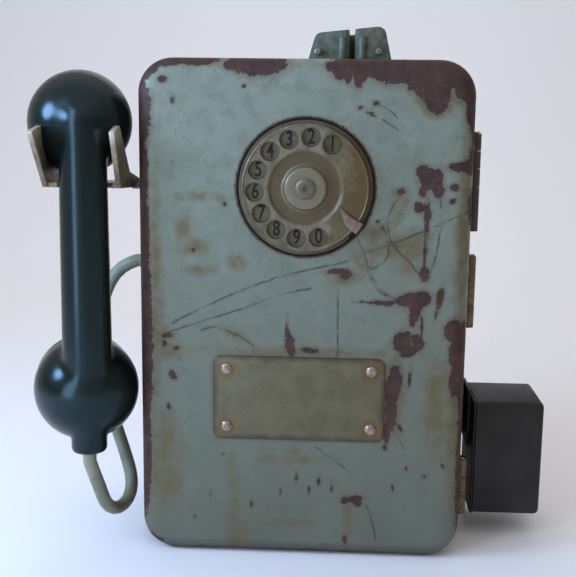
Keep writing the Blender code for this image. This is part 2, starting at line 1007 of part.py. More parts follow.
def gear_outline(teeth, module, phase):
    """A spur gear's outline with involute flanks, thinned a little for backlash."""
    pitch = teeth * module / 2
    base = pitch * cos(pressure_angle)
    tip = pitch + addendum_share * module
    root = pitch - dedendum_share * module
    half_tooth = pi / (2 * teeth) - tooth_thinning / (2 * pitch)
    roll_at_pitch = tan(pressure_angle) - pressure_angle

    def half_angle(radius):
        spread = acos(min(1, base / max(radius, base)))
        return half_tooth + roll_at_pitch - (tan(spread) - spread)

    flank = [max(root, base), tip]
    outline = []
    for tooth in range(teeth):
        middle = phase + 2 * pi * tooth / teeth
        side = [(root, half_angle(flank[0]))] + [(r, half_angle(r)) for r in flank]
        if base < root:
            side = side[1:]
        for radius, angle in side:
            outline.append(
                (radius * cos(middle - angle), radius * sin(middle - angle))
            )
        for radius, angle in reversed(side):
            outline.append(
                (radius * cos(middle + angle), radius * sin(middle + angle))
            )
    return outline


def spur_gear(name, teeth, module, phase, bore, centre, level, material=None):
    """A gear about a point of the dial's plane, at a level behind the dial base."""
    outline = gear_outline(teeth, module, phase)
    holes = [circle(bore, 16)] if bore else []
    place = (
        dial_x + centre[0],
        front_y - behind_base(level + gear_thickness / 2),
        dial_z + centre[1],
    )
    return plate(name, [outline] + holes, gear_thickness, "XZ", place, material)


pinion_reach = (main_gear_teeth + pinion_teeth) * main_module / 2
governor_reach = (second_gear_teeth + governor_pinion_teeth) * second_module / 2
pinion_centre = (pinion_reach * cos(pinion_angle), pinion_reach * sin(pinion_angle))
governor_centre = (
    pinion_centre[0] + governor_reach * cos(governor_angle),
    pinion_centre[1] + governor_reach * sin(governor_angle),
)


def spindle_point(centre, level):
    return Vector(
        (dial_x + centre[0], front_y - behind_base(level), dial_z + centre[1])
    )


def dial_gears(brass, steel, dial_axis, pinion_axis, governor_axis):
    """Main gear on the shaft, pinion and second gear on one spindle, governor on the next."""
    bore = dial_shaft_radius + fit_gap
    main_gear = spur_gear(
        "main_gear",
        main_gear_teeth,
        main_module,
        pinion_angle,
        bore,
        (0, 0),
        main_gear_level,
        brass,
    )
    hang(main_gear, dial_axis)

    spindle = rod(
        "pinion_spindle",
        spindle_point(pinion_centre, fit_gap),
        spindle_point(pinion_centre, bridge_level + bridge_sheet),
        pinion_spindle_radius,
        12,
        steel,
    )
    pinion_phase = pinion_angle + pi + pi / pinion_teeth
    pinion = spur_gear(
        "pinion",
        pinion_teeth,
        main_module,
        pinion_phase,
        0,
        pinion_centre,
        main_gear_level,
    )
    join(spindle, pinion)
    hang(spindle, pinion_axis)

    second = spur_gear(
        "second_gear",
        second_gear_teeth,
        second_module,
        governor_angle,
        pinion_spindle_radius + fit_gap,
        pinion_centre,
        second_gear_level,
        brass,
    )
    hang(second, pinion_axis)

    governor_spindle = rod(
        "governor_spindle",
        spindle_point(governor_centre, fit_gap),
        spindle_point(governor_centre, bridge_level + bridge_sheet),
        governor_spindle_radius,
        12,
        steel,
    )
    governor_phase = governor_angle + pi + pi / governor_pinion_teeth
    governor_pinion = spur_gear(
        "governor_pinion",
        governor_pinion_teeth,
        second_module,
        governor_phase,
        0,
        governor_centre,
        second_gear_level,
    )
    join(governor_spindle, governor_pinion)
    hang(governor_spindle, governor_axis)
    hang(governor_arm(brass), governor_axis)


def governor_arm(material):
    """The cross arm with its two brake weights, turning inside the governor's cup."""
    middle_level = governor_level + governor_height / 2
    place = spindle_point(governor_centre, middle_level)
    bar = rectangle(2 * governor_arm_reach, governor_arm_width)
    arm = plate(
        "governor_arm", [bar], governor_height / 3, "XZ", place, material
    )
    hub = rod(
        "governor_hub",
        spindle_point(governor_centre, governor_level),
        spindle_point(governor_centre, governor_level + governor_height),
        governor_arm_width,
        12,
    )
    join(arm, hub)
    for side in (-1, 1):
        centre = (
            governor_centre[0] + side * governor_arm_reach,
            governor_centre[1],
        )
        weight = rod(
            "governor_weight",
            spindle_point(centre, governor_level),
            spindle_point(centre, governor_level + governor_height),
            governor_weight_radius,
            12,
        )
        join(arm, weight)
    bore = rod(
        "governor_bore",
        spindle_point(governor_centre, governor_level - cut_overrun),
        spindle_point(governor_centre, governor_level + governor_height + cut_overrun),
        governor_spindle_radius + fit_gap,
        12,
    )
    return cut(arm, bore)


def governor_cup(material):
    """The fixed cup whose wall the brake weights rub on."""
    floor = bridge_level - fit_gap - governor_cup_wall
    bore = governor_spindle_radius + spindle_play
    inner = governor_cup_radius - governor_cup_wall
    profile = [
        (inner, behind_base(governor_level)),
        (governor_cup_radius, behind_base(governor_level)),
        (governor_cup_radius, behind_base(bridge_level - fit_gap)),
        (bore, behind_base(bridge_level - fit_gap)),
        (bore, behind_base(floor)),
        (inner, behind_base(floor)),
    ]
    place = (dial_x + governor_centre[0], front_y, dial_z + governor_centre[1])
    return facing_front("governor_cup", profile, 24, material, place)


def dial_bridge(material):
    """The back plate of the mechanism on its three pillars, drilled for the spindles."""
    reach = pillar_circle + bridge_rim
    holes = [
        circle(dial_shaft_radius + spindle_play, 16),
        circle(pinion_spindle_radius + spindle_play, 12, pinion_centre),
        circle(governor_spindle_radius + spindle_play, 12, governor_centre),
    ]
    place = (
        dial_x,
        front_y - behind_base(bridge_level + bridge_sheet / 2),
        dial_z,
    )
    bridge = plate(
        "dial_bridge",
        [circle(reach, 40)] + holes,
        bridge_sheet,
        "XZ",
        place,
        material,
    )
    for angle in pillar_angles:
        pillar = rod(
            "dial_pillar",
            dial_point(pillar_circle, angle, behind_base(fit_gap)),
            dial_point(
                pillar_circle, angle, behind_base(bridge_level + bridge_sheet / 2)
            ),
            pillar_radius,
            12,
        )
        join(bridge, pillar)
    return bridge


def coil_spring(name, radius, wire, curls, pitch, start, along, material):
    """A round-wire spring as one tube, its curls worked out turn by turn."""
    per_curl = 10
    sense = Vector(along)
    side = sense.orthogonal().normalized()
    other = sense.cross(side)
    curve = bpy.data.curves.new(name, "CURVE")
    curve.dimensions = "3D"
    curve.bevel_depth = wire
    curve.bevel_resolution = 1
    curve.use_fill_caps = True
    curve.render_resolution_u = 0
    spline = curve.splines.new("POLY")
    spline.points.add(curls * per_curl)
    for i, point in enumerate(spline.points):
        angle = 2 * pi * i / per_curl
        place = Vector(start) + sense * pitch * i / per_curl
        place += side * radius * cos(angle) + other * radius * sin(angle)
        point.co = (*place, 1)
    print(f"{name}: least gap between curls {(pitch - 2 * wire) * 1000:.2f} mm")
    carrier = bpy.data.objects.new(name + "_line", curve)
    cutters.objects.link(carrier)
    return smooth(as_mesh(carrier, name, material))


def dial_spring(material):
    """The spring round the shaft, between the main gear and the bridge."""
    low = main_gear_level + gear_thickness + fit_gap + dial_spring_wire
    high = bridge_level - fit_gap - dial_spring_wire
    return coil_spring(
        "dial_spring",
        dial_spring_radius,
        dial_spring_wire,
        dial_spring_curls,
        (high - low) / dial_spring_curls,
        spindle_point((0, 0), low),
        (0, 1, 0),
        material,
    )


def pulse_contacts(material):
    """A stack of two contact leaves in their block, standing on the bridge."""
    middle = dial_point(
        contact_block_circle,
        contact_block_angle,
        behind_base((governor_level + bridge_level - fit_gap) / 2),
    )
    half_x, half_z = (size / 2 for size in contact_block_size)
    half_y = (bridge_level - fit_gap - governor_level) / 2
    stack = block(
        "pulse_contacts",
        middle - Vector((half_x, half_y, half_z)),
        middle + Vector((half_x, half_y, half_z)),
        material,
    )
    for side in (0, 1):
        x = middle.x + half_x / 2 + side * half_x / 2
        leaf = block(
            "pulse_leaf",
            (
                x - contact_leaf_sheet,
                middle.y - half_y / 2,
                middle.z - contact_leaf_length,
            ),
            (x, middle.y - half_y / 2 + contact_leaf_height, middle.z),
        )
        join(stack, leaf)
    return stack


def nameplate(material):
    outline = rounded(rectangle(nameplate_width, nameplate_height), nameplate_corner, 4)
    y = front_y - fit_gap - nameplate_sheet / 2
    place = (nameplate_x, y, nameplate_z)
    return plate("nameplate", [outline], nameplate_sheet, "XZ", place, material)


def door_catch(material):
    """A bent strip on the inside of the front; the turned cam stands behind its lip."""
    x = -half_width + lock_length + fit_gap + cam_sheet + catch_gap
    front = front_y + sheet + fit_gap
    back = front_y + lock_back - cam_width / 2 - fit_gap
    low = lock_z + lock_radius + catch_gap
    high = low + catch_height
    catch = block(
        "door_catch",
        (x, front, low),
        (x + catch_sheet, back, high),
        material,
    )
    foot = block(
        "catch_foot",
        (x, front, low),
        (x + catch_foot_width, front + catch_sheet, high),
    )
    lip = block(
        "catch_lip",
        (x - catch_lip_reach, back - catch_sheet, low),
        (x + catch_sheet, back, high),
    )
    return join(catch, foot, lip)


def entry_outline(inset):
    half = entry_width / 2 - inset
    shoulder = half - entry_shoulder
    corners = [
        (-half, 0.0),
        (half, 0.0),
        (shoulder, entry_right_height - inset),
        (-shoulder, entry_left_height - inset),
    ]
    arcs = rounded(corners, entry_corner, 3)
    count = len(arcs) // 4
    return [corners[0], corners[1]] + arcs[2 * count :]


def coin_entry(plate_material, block_material):
    """The upright coin entry: a front plate with a flared slot and the casting behind it."""
    base_z = case_height + fit_gap
    place = (entry_x, entry_y + entry_plate_sheet / 2, base_z)
    front = plate(
        "coin_entry_plate",
        [entry_outline(0)],
        entry_plate_sheet,
        "XZ",
        place,
        plate_material,
    )
    top = base_z + entry_left_height - entry_ridge_radius
    for side in (-1, 1):
        x = slot_x + side * (coin_slot_mouth / 2 + entry_ridge_radius - entry_ridge_gap)
        ridge = rod(
            "entry_ridge",
            (x, entry_y, base_z + entry_ridge_gap),
            (x, entry_y, top + side * entry_ridge_gap),
            entry_ridge_radius,
            14,
        )
        join(front, ridge)
    mouth = coin_slot_mouth / 2
    throat = coin_slot_width / 2
    front_edge = entry_y - entry_ridge_radius - cut_overrun
    back_edge = entry_block_y
    flare = plate(
        "slot_flare",
        [
            [
                (-mouth, front_edge),
                (mouth, front_edge),
                (mouth, entry_y),
                (throat, back_edge),
                (-throat, back_edge),
                (-mouth, entry_y),
            ]
        ],
        entry_right_height + cut_overrun,
        "XY",
        (
            slot_x,
            0,
            base_z + entry_ridge_gap * 2 + (entry_right_height + cut_overrun) / 2,
        ),
    )
    cut(front, flare)

    block_y = entry_block_y + entry_block_depth / 2
    body = plate(
        "coin_entry_block",
        [entry_outline(entry_block_inset)],
        entry_block_depth,
        "XZ",
        (entry_x, block_y, base_z),
        block_material,
    )
    slot = block(
        "coin_slot",
        (slot_x - throat, entry_block_y - cut_overrun, base_z - cut_overrun),
        (slot_x + throat, slot_back_y, base_z + entry_right_height + cut_overrun),
    )
    cut(body, slot)
    return front, body


def coin_channel(material):
    """An upright channel of folded sheet, open at the front, with a window for the gate."""
    half = channel_gap / 2
    outer = half + channel_wall
    y_front = entry_block_y
    y_back = slot_back_y + channel_wall
    outline = [
        (-outer, y_front),
        (-half, y_front),
        (-half, y_back - channel_wall),
        (half, y_back - channel_wall),
        (half, y_front),
        (outer, y_front),
        (outer, y_back),
        (-outer, y_back),
    ]
    top_z = case_height - sheet - fit_gap
    height = top_z - channel_low_z
    channel = plate(
        "coin_channel",
        [outline],
        height,
        "XY",
        (slot_x, 0, channel_low_z + height / 2),
        material,
    )
    window_y = (entry_block_y + slot_back_y) / 2
    window = block(
        "channel_window",
        (
            slot_x,
            window_y - channel_window_depth / 2,
            channel_low_z + fit_gap,
        ),
        (
            slot_x + outer + cut_overrun,
            window_y + channel_window_depth / 2,
            channel_low_z + channel_window,
        ),
    )
    return cut(channel, window)


def gate_pivot():
    """Where the coin gate turns: beside the channel, above its window."""
    return Vector(
        (
            slot_x + channel_gap / 2 + channel_wall + gate_pivot_out,
            (entry_block_y + slot_back_y) / 2,
            channel_low_z + gate_tab_low + gate_drop + gate_tab_sheet,
        )
    )


def coin_gate(material):
    """A hanging lever whose tab stands in the channel's window and holds the coin."""
    pivot = gate_pivot()
    half = gate_width / 2
    low = channel_low_z + gate_tab_low
    lever = block(
        "coin_gate",
        (pivot.x - gate_plate / 2, pivot.y - half, low),
        (pivot.x + gate_plate / 2, pivot.y + half, pivot.z),
        material,
    )
    tab = block(
        "gate_tab",
        (slot_x - channel_gap / 2 + fit_gap, pivot.y - gate_tab_width / 2, low),
        (pivot.x, pivot.y + gate_tab_width / 2, low + gate_tab_sheet),
    )
    knuckle = rod(
        "gate_knuckle",
        (pivot.x, pivot.y - half, pivot.z),
        (pivot.x, pivot.y + half, pivot.z),
        gate_knuckle_radius,
        14,
    )
    bore = rod(
        "gate_bore",
        (pivot.x, pivot.y - half - cut_overrun, pivot.z),
        (pivot.x, pivot.y + half + cut_overrun, pivot.z),
        gate_pin_radius + pivot_play,
        14,
    )
    return cut(join(lever, tab, knuckle), bore)


def coin_magnet(iron, winding, steel):
    """The magnet that draws the gate back: iron yoke with its core, spool of wire, gate pin."""
    pivot = gate_pivot()
    half = gate_width / 2 + fit_gap
    axis_z = channel_low_z + gate_tab_low + magnet_coil_radius
    core_x = pivot.x + gate_plate / 2 + magnet_air_gap
    spool_x = core_x + magnet_yoke_sheet
    wall_x = spool_x + magnet_coil_length + fit_gap
    top_z = pivot.z + gate_knuckle_radius + gate_plate
    y_low, y_high = pivot.y - half - gate_ear_sheet, pivot.y + half + gate_ear_sheet
    yoke = block(
        "coin_magnet_yoke",
        (pivot.x - gate_knuckle_radius, y_low, top_z),
        (wall_x + magnet_yoke_sheet, y_high, top_z + magnet_yoke_sheet),
        iron,
    )
    leg = block(
        "yoke_leg",
        (wall_x, y_low, axis_z - magnet_yoke_rise),
        (
            wall_x + magnet_yoke_sheet,
            chassis_y - fit_gap,
            top_z + magnet_yoke_sheet / 2,
        ),
    )
    core = rod(
        "yoke_core",
        (core_x, pivot.y, axis_z),
        (wall_x + magnet_yoke_sheet / 2, pivot.y, axis_z),
        magnet_core_radius,
        16,
    )
    join(yoke, leg, core)
    for ear_y in (y_low, y_high - gate_ear_sheet):
        ear = block(
            "yoke_ear",
            (
                pivot.x - gate_knuckle_radius,
                ear_y,
                pivot.z - gate_knuckle_radius,
            ),
            (
                pivot.x + gate_knuckle_radius,
                ear_y + gate_ear_sheet,
                top_z + magnet_yoke_sheet / 2,
            ),
        )
        join(yoke, ear)
    pin_bore = rod(
        "ear_bore",
        (pivot.x, y_low - cut_overrun, pivot.z),
        (pivot.x, y_high + cut_overrun, pivot.z),
        gate_pin_radius + pivot_play,
        14,
    )
    cut(yoke, pin_bore)

    rod(
        "gate_pin",
        (pivot.x, y_low, pivot.z),
        (pivot.x, y_high, pivot.z),
        gate_pin_radius,
        14,
        steel,
    )

    bore = magnet_core_radius + fit_gap
    barrel = magnet_coil_radius - magnet_spool_wall
    length = magnet_coil_length
    profile = [
        (bore, length),
        (magnet_coil_radius, length),
        (magnet_coil_radius, length - magnet_spool_wall),
        (barrel, length - magnet_spool_wall),
        (barrel, magnet_spool_wall),
        (magnet_coil_radius, magnet_spool_wall),
        (magnet_coil_radius, 0.0),
        (bore, 0.0),
    ]
    turned(
        "coin_magnet_coil",
        profile,
        20,
        winding,
        (spool_x, pivot.y, axis_z),
        (0, pi / 2, 0),
    )


def chassis_plate(material):
    """The inner plate that carries the works, on four stand-offs from the back wall."""
    height = chassis_high_z - chassis_low_z
    outline = rounded(rectangle(chassis_width, height), chassis_corner, 3)
    middle_z = (chassis_high_z + chassis_low_z) / 2
    chassis = plate(
        "chassis_plate",
        [outline],
        chassis_sheet,
        "XZ",
        (0, chassis_y + chassis_sheet / 2, middle_z),
        material,
    )
    inset = stand_off_inset
    for side in (-1, 1):
        for z in (chassis_low_z + inset, chassis_high_z - inset):
            x = side * (chassis_width / 2 - inset)
            stand = rod(
                "stand_off",
                (x, chassis_y + chassis_sheet / 2, z),
                (x, case_back_y - sheet - fit_gap, z),
                stand_off_radius,
                10,
            )
            join(chassis, stand)
    return chassis


def transformer(iron, winding):
    """A laminated core with two windows and the coil round its middle leg."""
    window_width = (core_width - 3 * core_leg) / 2 + core_leg / 2
    side_leg = (core_width - core_leg - 2 * window_width) / 2
    window_height = core_height - 2 * core_yoke
    shift = core_leg / 2 + window_width / 2
    y_back = chassis_y - fit_gap
    y_middle = y_back - coil_wall - core_stack / 2
    core = block(
        "transformer_core",
        (core_x - core_width / 2, y_middle - core_stack / 2, core_z - core_height / 2),
        (core_x + core_width / 2, y_middle + core_stack / 2, core_z + core_height / 2),
        iron,
    )
    for side in (-1, 1):
        x = core_x + side * shift
        window = block(
            "core_window",
            (x - window_width / 2, y_middle - core_stack, core_z - window_height / 2),
            (x + window_width / 2, y_middle + core_stack, core_z + window_height / 2),
        )
        cut(core, window)
    for side in (-1, 1):
        x = core_x + side * (core_width - side_leg) / 2
        z = core_z - (core_height - core_yoke) / 2
        foot = rod("core_foot", (x, y_middle, z), (x, y_back, z), side_leg / 3, 10)
        join(core, foot)
    leg_hole = rectangle(core_leg + 2 * coil_space, core_stack + 2 * coil_space)
    outer = rounded(
        rectangle(
            core_leg + 2 * window_width - 2 * coil_space,
            core_stack + 2 * coil_wall - 2 * coil_space,
        ),
        coil_wall / 2,
        2,
    )
    plate(
        "transformer_coil",
        [outer, leg_hole],
        window_height - 2 * coil_space,
        "XY",
        (core_x, y_middle, core_z),
        winding,
    )


def on_chassis(name, size, x, z, material):
    """A block seated on the front of the chassis plate."""
    back = chassis_y - fit_gap
    return block(
        name,
        (x - size[0] / 2, back - size[1], z - size[2] / 2),
        (x + size[0] / 2, back, z + size[2] / 2),
        material,
    )


def electrics(tin, dark, brown):
    """The speech condenser, the covered relay and the terminal strip."""
    condenser = on_chassis(
        "condenser", condenser_size, condenser_x, condenser_z, tin
    )
    soften(condenser, condenser_size[1] / 8)
    relay_z = case_height - relay_drop
    relay = on_chassis("relay", relay_size, relay_x, relay_z, dark)
    soften(relay, relay_size[0] / 10)
    strip = on_chassis(
        "terminal_strip", terminal_size, terminal_x, terminal_z, brown
    )
    pitch = terminal_size[0] / terminal_count
    front = chassis_y - fit_gap - terminal_size[1]
    for i in range(terminal_count):
        x = terminal_x + (i - (terminal_count - 1) / 2) * pitch
        screw = rod(
            "terminal_screw",
            (x, front + terminal_screw_height, terminal_z),
            (x, front - terminal_screw_height, terminal_z),
            terminal_screw_radius,
            10,
        )
        join(strip, screw)


def cash_box(material):
    """The open box on the case's floor that the coins fall into."""
    form = bmesh.new()
    bmesh.ops.create_cube(form, size=1)
    bmesh.ops.scale(
        form, vec=(cash_box_width, cash_box_depth, cash_box_height), verts=form.verts
    )
    upright = [
        e
        for e in form.edges
        if abs((e.verts[0].co - e.verts[1].co).z) > cash_box_height / 2
    ]
    bmesh.ops.bevel(
        form,
        geom=upright,
        offset=cash_box_corner,
        segments=3,
        profile=0.5,
        affect="EDGES",
    )
    top = max(form.faces, key=lambda f: f.calc_center_median().z)
    bmesh.ops.delete(form, geom=[top], context="FACES_ONLY")
    box = add_object("cash_box", mesh_from("cash_box", form), material)
    low_z = sheet + fit_gap
    front = case_front_y + sheet + fit_gap + cash_box_corner
    box.location = (0, front + cash_box_depth / 2, low_z + cash_box_height / 2)
    wall = box.modifiers.new("sheet", "SOLIDIFY")
    wall.thickness = cash_box_sheet
    wall.offset = -1
    wall.use_even_offset = True
    return smooth(box)


def hook_lever(material):
    """The lever with its forked cradle: floor, two side plates and an arm into the case."""
    right, left = cradle_right_x, cradle_left_x
    arm_y = (lever_y, lever_y + lever_width)
    top_z = lever_z + lever_thickness
    arm = block(
        "hook_lever",
        (right - cradle_sheet, arm_y[0], lever_z),
        (pivot_x + lever_tail, arm_y[1], top_z),
        material,
    )
    floor_outline = [
        (front_y + cradle_floor_front, cradle_floor_front_z - cradle_sheet),
        (arm_y[1], lever_z),
        (arm_y[1], top_z),
        (arm_y[0], top_z),
        (front_y + cradle_floor_front, cradle_floor_front_z),
    ]
    floor = plate(
        "cradle_floor",
        [floor_outline],
        right - left,
        "YZ",
        ((right + left) / 2, 0, 0),
    )
    side_outline = [
        (front_y + cradle_floor_front, cradle_floor_front_z - cradle_sheet),
        (arm_y[1], lever_z),
        (arm_y[1], top_z),
        (front_y + cradle_rear, lever_z + cradle_rear_rise),
    ]
    join(arm, floor)
    for x, front_back, rear_back in (
        (left + cradle_sheet / 2, 0.0, 0.0),
        (right - cradle_sheet / 2, cradle_right_front_back, cradle_right_rear_back),
    ):
        tip_y = front_y + cradle_tip_front + front_back
        tip = [
            (front_y + cradle_tip_rear + rear_back, cradle_tip_rear_z),
            (tip_y, lever_z + cradle_tip_front_rise),
        ]
        arcs = rounded(side_outline + tip, cradle_corner / 4, 2)
        side = plate("cradle_side", [arcs], cradle_sheet, "YZ", (x, 0, 0))
        join(arm, side)
    boss = rod(
        "pivot_boss",
        (pivot_x, arm_y[0], pivot_z),
        (pivot_x, arm_y[1], pivot_z),
        pivot_boss_radius,
        20,
    )
    join(arm, boss)
    bowl_middle = handset_matrix() @ Vector((0, ear_offset, ear_z))
    seat = sphere_cutter("cradle_seat", bowl_middle, ear_radius + cradle_seat_gap)
    neck = rod(
        "cradle_neck",
        (handset_x, handset_y, cradle_floor_front_z - cut_overrun * 2),
        (handset_x, handset_y, cradle_tip_rear_z + cut_overrun),
        handle_radius + cradle_neck_gap,
        20,
    )
    bore = rod(
        "pivot_bore",
        (pivot_x, arm_y[0] - cut_overrun, pivot_z),
        (pivot_x, arm_y[1] + cut_overrun, pivot_z),
        pivot_pin_radius + pivot_play,
        16,
    )
    return cut(arm, seat, neck, bore)


def sphere_cutter(name, place, radius):
    form = bmesh.new()
    bmesh.ops.create_uvsphere(form, u_segments=32, v_segments=20, radius=radius)
    ball = add_object(name, mesh_from(name, form))
    ball.location = place
    return ball


def lever_shelf(material, steel, spring_material):
    """The shelf on the chassis with two cheeks for the lever's pivot, its pin and spring."""
    y_low = lever_y - cheek_gap - cheek_sheet
    y_high = lever_y + lever_width + cheek_gap + cheek_sheet
    x_right = pivot_x + lever_tail + shelf_width
    shelf = block(
        "lever_shelf",
        (pivot_x - shelf_width / 2, y_low, shelf_z),
        (x_right, chassis_y - fit_gap, shelf_z + shelf_sheet),
        material,
    )
    for y in (y_low, y_high - cheek_sheet):
        outline = [
            (-shelf_width / 2, shelf_z - pivot_z),
            (shelf_width / 2, shelf_z - pivot_z),
            (pivot_boss_radius, pivot_boss_radius),
            (-pivot_boss_radius, pivot_boss_radius),
        ]
        cheek = plate(
            "lever_cheek",
            [rounded(outline, pivot_boss_radius / 4, 2)],
            cheek_sheet,
            "XZ",
            (pivot_x, y + cheek_sheet / 2, pivot_z),
        )
        join(shelf, cheek)
    bore = rod(
        "cheek_bore",
        (pivot_x, y_low - cut_overrun, pivot_z),
        (pivot_x, y_high + cut_overrun, pivot_z),
        pivot_pin_radius + pivot_play,
        16,
    )
    cut(shelf, bore)
    rod(
        "lever_pin",
        (pivot_x, y_low, pivot_z),
        (pivot_x, y_high, pivot_z),
        pivot_pin_radius,
        16,
        steel,
    )
    low = shelf_z + shelf_sheet + fit_gap + lever_spring_wire
    high = lever_z - fit_gap - lever_spring_wire
    coil_spring(
        "lever_spring",
        lever_spring_radius,
        lever_spring_wire,
        lever_spring_curls,
        (high - low) / lever_spring_curls,
        (pivot_x + lever_spring_reach, lever_y + lever_width / 2, low),
        (0, 0, 1),
        spring_material,
    )


def hook_switch(material):
    """The switch above the lever's tail: leaves held in an insulating block on the shelf."""
    tail_x = pivot_x + lever_tail
    x_low = tail_x + shelf_width - switch_block_width
    y_middle = lever_y + lever_width / 2
    first_leaf_z = lever_z + lever_thickness + fit_gap
    base = block(
        "hook_switch",
        (
            x_low,
            y_middle - switch_block_height / 2,
            shelf_z + shelf_sheet + fit_gap,
        ),
        (
            tail_x + shelf_width,
            y_middle + switch_block_height / 2,
            first_leaf_z + switch_leaf_space * switch_leaf_count,
        ),
        material,
    )
    for i in range(switch_leaf_count):
        z = first_leaf_z + i * switch_leaf_space
        leaf = block(
            "switch_leaf",
            (x_low - switch_leaf_length, y_middle - switch_block_width / 4, z),
            (
                x_low + switch_block_width / 2,
                y_middle + switch_block_width / 4,
                z + switch_leaf_sheet,
            ),
        )
        join(base, leaf)
    return base


def handset_matrix():
    place = Matrix.Translation((handset_x, handset_y, 0))
    return place @ Matrix.Rotation(handset_turn, 4, "Z")


def bowl_at(level):
    """How far back a bowl's middle lies from the handle, and its radius."""
    return (ear_offset, ear_radius) if level == ear_z else (mouth_offset, mouth_radius)


def handset_turned(name, profile, steps, material, level, turn):
    """A turned piece of the handset whose heights count backwards from a bowl's middle."""
    place = handset_matrix() @ Vector((0, bowl_at(level)[0], level))
    return turned(name, profile, steps, material, place, (-pi / 2, 0, turn))


def bowl_profile(radius, depth, steps):
    """Half of a round bowl from its open rim to its pole, as radius and height."""
    start = acos(min(1, depth / radius))
    points = []
    for i in range(steps + 1):
        angle = start + (pi - start) * i / steps
        points.append((radius * sin(angle), radius * cos(angle)))
    points[-1] = (0, -radius)
    return points


def handset_shell(material):
    """Handle and two hollow bowls in one moulding, with the collar for the cord."""
    curve = bpy.data.curves.new("handle", "CURVE")
    curve.dimensions = "3D"
    curve.bevel_depth = handle_radius
    curve.bevel_resolution = 4
    curve.use_fill_caps = True
    curve.render_resolution_u = 0
    span = ear_z - mouth_z
    rise = handle_top_rise
    rows = [
        (collar_low_z, 0.0, collar_radius - collar_edge),
        (collar_low_z + collar_edge, 0.0, collar_radius),
        (mouth_z - collar_radius, 0.0, collar_radius),
    ]
    rows += [
        (mouth_z + span * along, 0.0, handle_radius * width)
        for along, width in zip(handle_along_shares, handle_width_shares)
    ]
    rows += [
        (ear_z + rise * along, ear_offset * back, handle_radius * width)
        for along, back, width in handle_top_shares
    ]
    spline = curve.splines.new("POLY")
    spline.points.add(len(rows) - 1)
    for point, (z, y, radius) in zip(spline.points, rows):
        point.co = (0, y, z, 1)
        point.radius = radius / handle_radius
    carrier = bpy.data.objects.new("handle_line", curve)
    carrier.matrix_world = handset_matrix()
    cutters.objects.link(carrier)
    shell = as_mesh(carrier, "handset_shell", material)
    for level in (ear_z, mouth_z):
        outer = bowl_profile(bowl_at(level)[1], bowl_depth, 9)
        bowl = handset_turned(
            "bowl", [(0, bowl_depth)] + outer, 24, None, level, handset_turn
        )
        join(shell, bowl)
    for level in (ear_z, mouth_z):
        inner = bowl_at(level)[1] - bowl_wall
        hollow = [(0, bowl_depth + cut_overrun)]
        hollow += [(sqrt(inner**2 - bowl_depth**2), bowl_depth + cut_overrun)]
        hollow += bowl_profile(inner, bowl_depth, 7)
        cavity = handset_turned("bowl_hollow", hollow, 20, None, level, handset_turn)
        cut(shell, cavity)
    return smooth(shell)


def handset_cap(name, level, material):
    """A screwed cap over a bowl, drilled with rings of small holes."""
    low = bowl_depth + fit_gap
    top = low + cap_height
    offset, radius = bowl_at(level)
    rim = sqrt(radius**2 - bowl_depth**2)
    inner = rim - cap_wall
    edge = cap_wall
    profile = [
        (0, top),
        (cap_face_radius, top),
        (rim - edge, top - edge),
        (rim, top - 2 * edge),
        (rim, low),
        (inner, low),
        (inner, top - 2 * edge - cap_wall / 2),
        (cap_face_radius, top - cap_wall),
        (0, top - cap_wall),
    ]
    cap = handset_turned(name, profile, 24, material, level, handset_turn)
    frame = handset_matrix()
    back_low, back_high = top - cap_wall - cut_overrun, top + cut_overrun
    for ring, count in zip(cap_hole_circles, cap_hole_counts):
        for across, up in circle(ring, count):
            start = frame @ Vector((across, offset + back_low, level + up))
            end = frame @ Vector((across, offset + back_high, level + up))
            cut(cap, rod("cap_hole", start, end, cap_hole_radius, 8))
    return cap


def handset_capsule(name, level, material):
    """The round receiver or microphone insert under a cap."""
    top = bowl_depth + cap_height - cap_wall
    low = top - capsule_height
    edge = capsule_height / 4
    profile = [
        (0, top),
        (capsule_radius - 2 * edge, top),
        (capsule_radius - edge, top - edge),
        (capsule_radius - edge, low + edge),
        (capsule_radius - 2 * edge, low),
        (0, low),
    ]
    return handset_turned(name, profile, 20, material, level, handset_turn)


def cord_bushing(material):
    """The bushing in the case's left wall that the cord comes out of."""
    y, z = front_y + cord_exit_depth, cord_exit_z
    bore = bushing_bore
    profile = [
        (bore, bushing_out),
        (bushing_neck_radius, bushing_out),
        (bushing_flange_radius, fit_gap + bushing_out / 3),
        (bushing_flange_radius, fit_gap),
        (bushing_neck_radius, fit_gap),
        (bushing_neck_radius, -bushing_in),
        (bore, -bushing_in),
    ]
    return turned(
        "cord_bushing",
        profile,
        16,
        material,
        (-half_width, y, z),
        (0, -pi / 2, 0),
    )


def curve_through(points, step):
    """Evenly spaced points on a smooth curve through the given ones."""
    fine = []
    last = len(points) - 1
    pieces = 24
    for i in range(last):
        before, start = points[max(i - 1, 0)], points[i]
        end, after = points[i + 1], points[min(i + 2, last)]
        for k in range(pieces):
            t = k / pieces
            first_pull = (end - before) / 2
            second_pull = (after - start) / 2
            place = (
                start * (2 * t**3 - 3 * t**2 + 1)
                + first_pull * (t**3 - 2 * t**2 + t)
                + end * (3 * t**2 - 2 * t**3)
                + second_pull * (t**3 - t**2)
            )
            fine.append(place)
    fine.append(points[last])
    length = sum((b - a).length for a, b in zip(fine, fine[1:]))
    count = ceil(length / step)
    spaced, run, target = [fine[0]], 0.0, length / count
    for a, b in zip(fine, fine[1:]):
        piece = (b - a).length
        while run + piece >= target * len(spaced) and len(spaced) < count:
            share = (target * len(spaced) - run) / piece
            spaced.append(a.lerp(b, share))
        run += piece
    spaced.append(fine[-1])
    return spaced, length


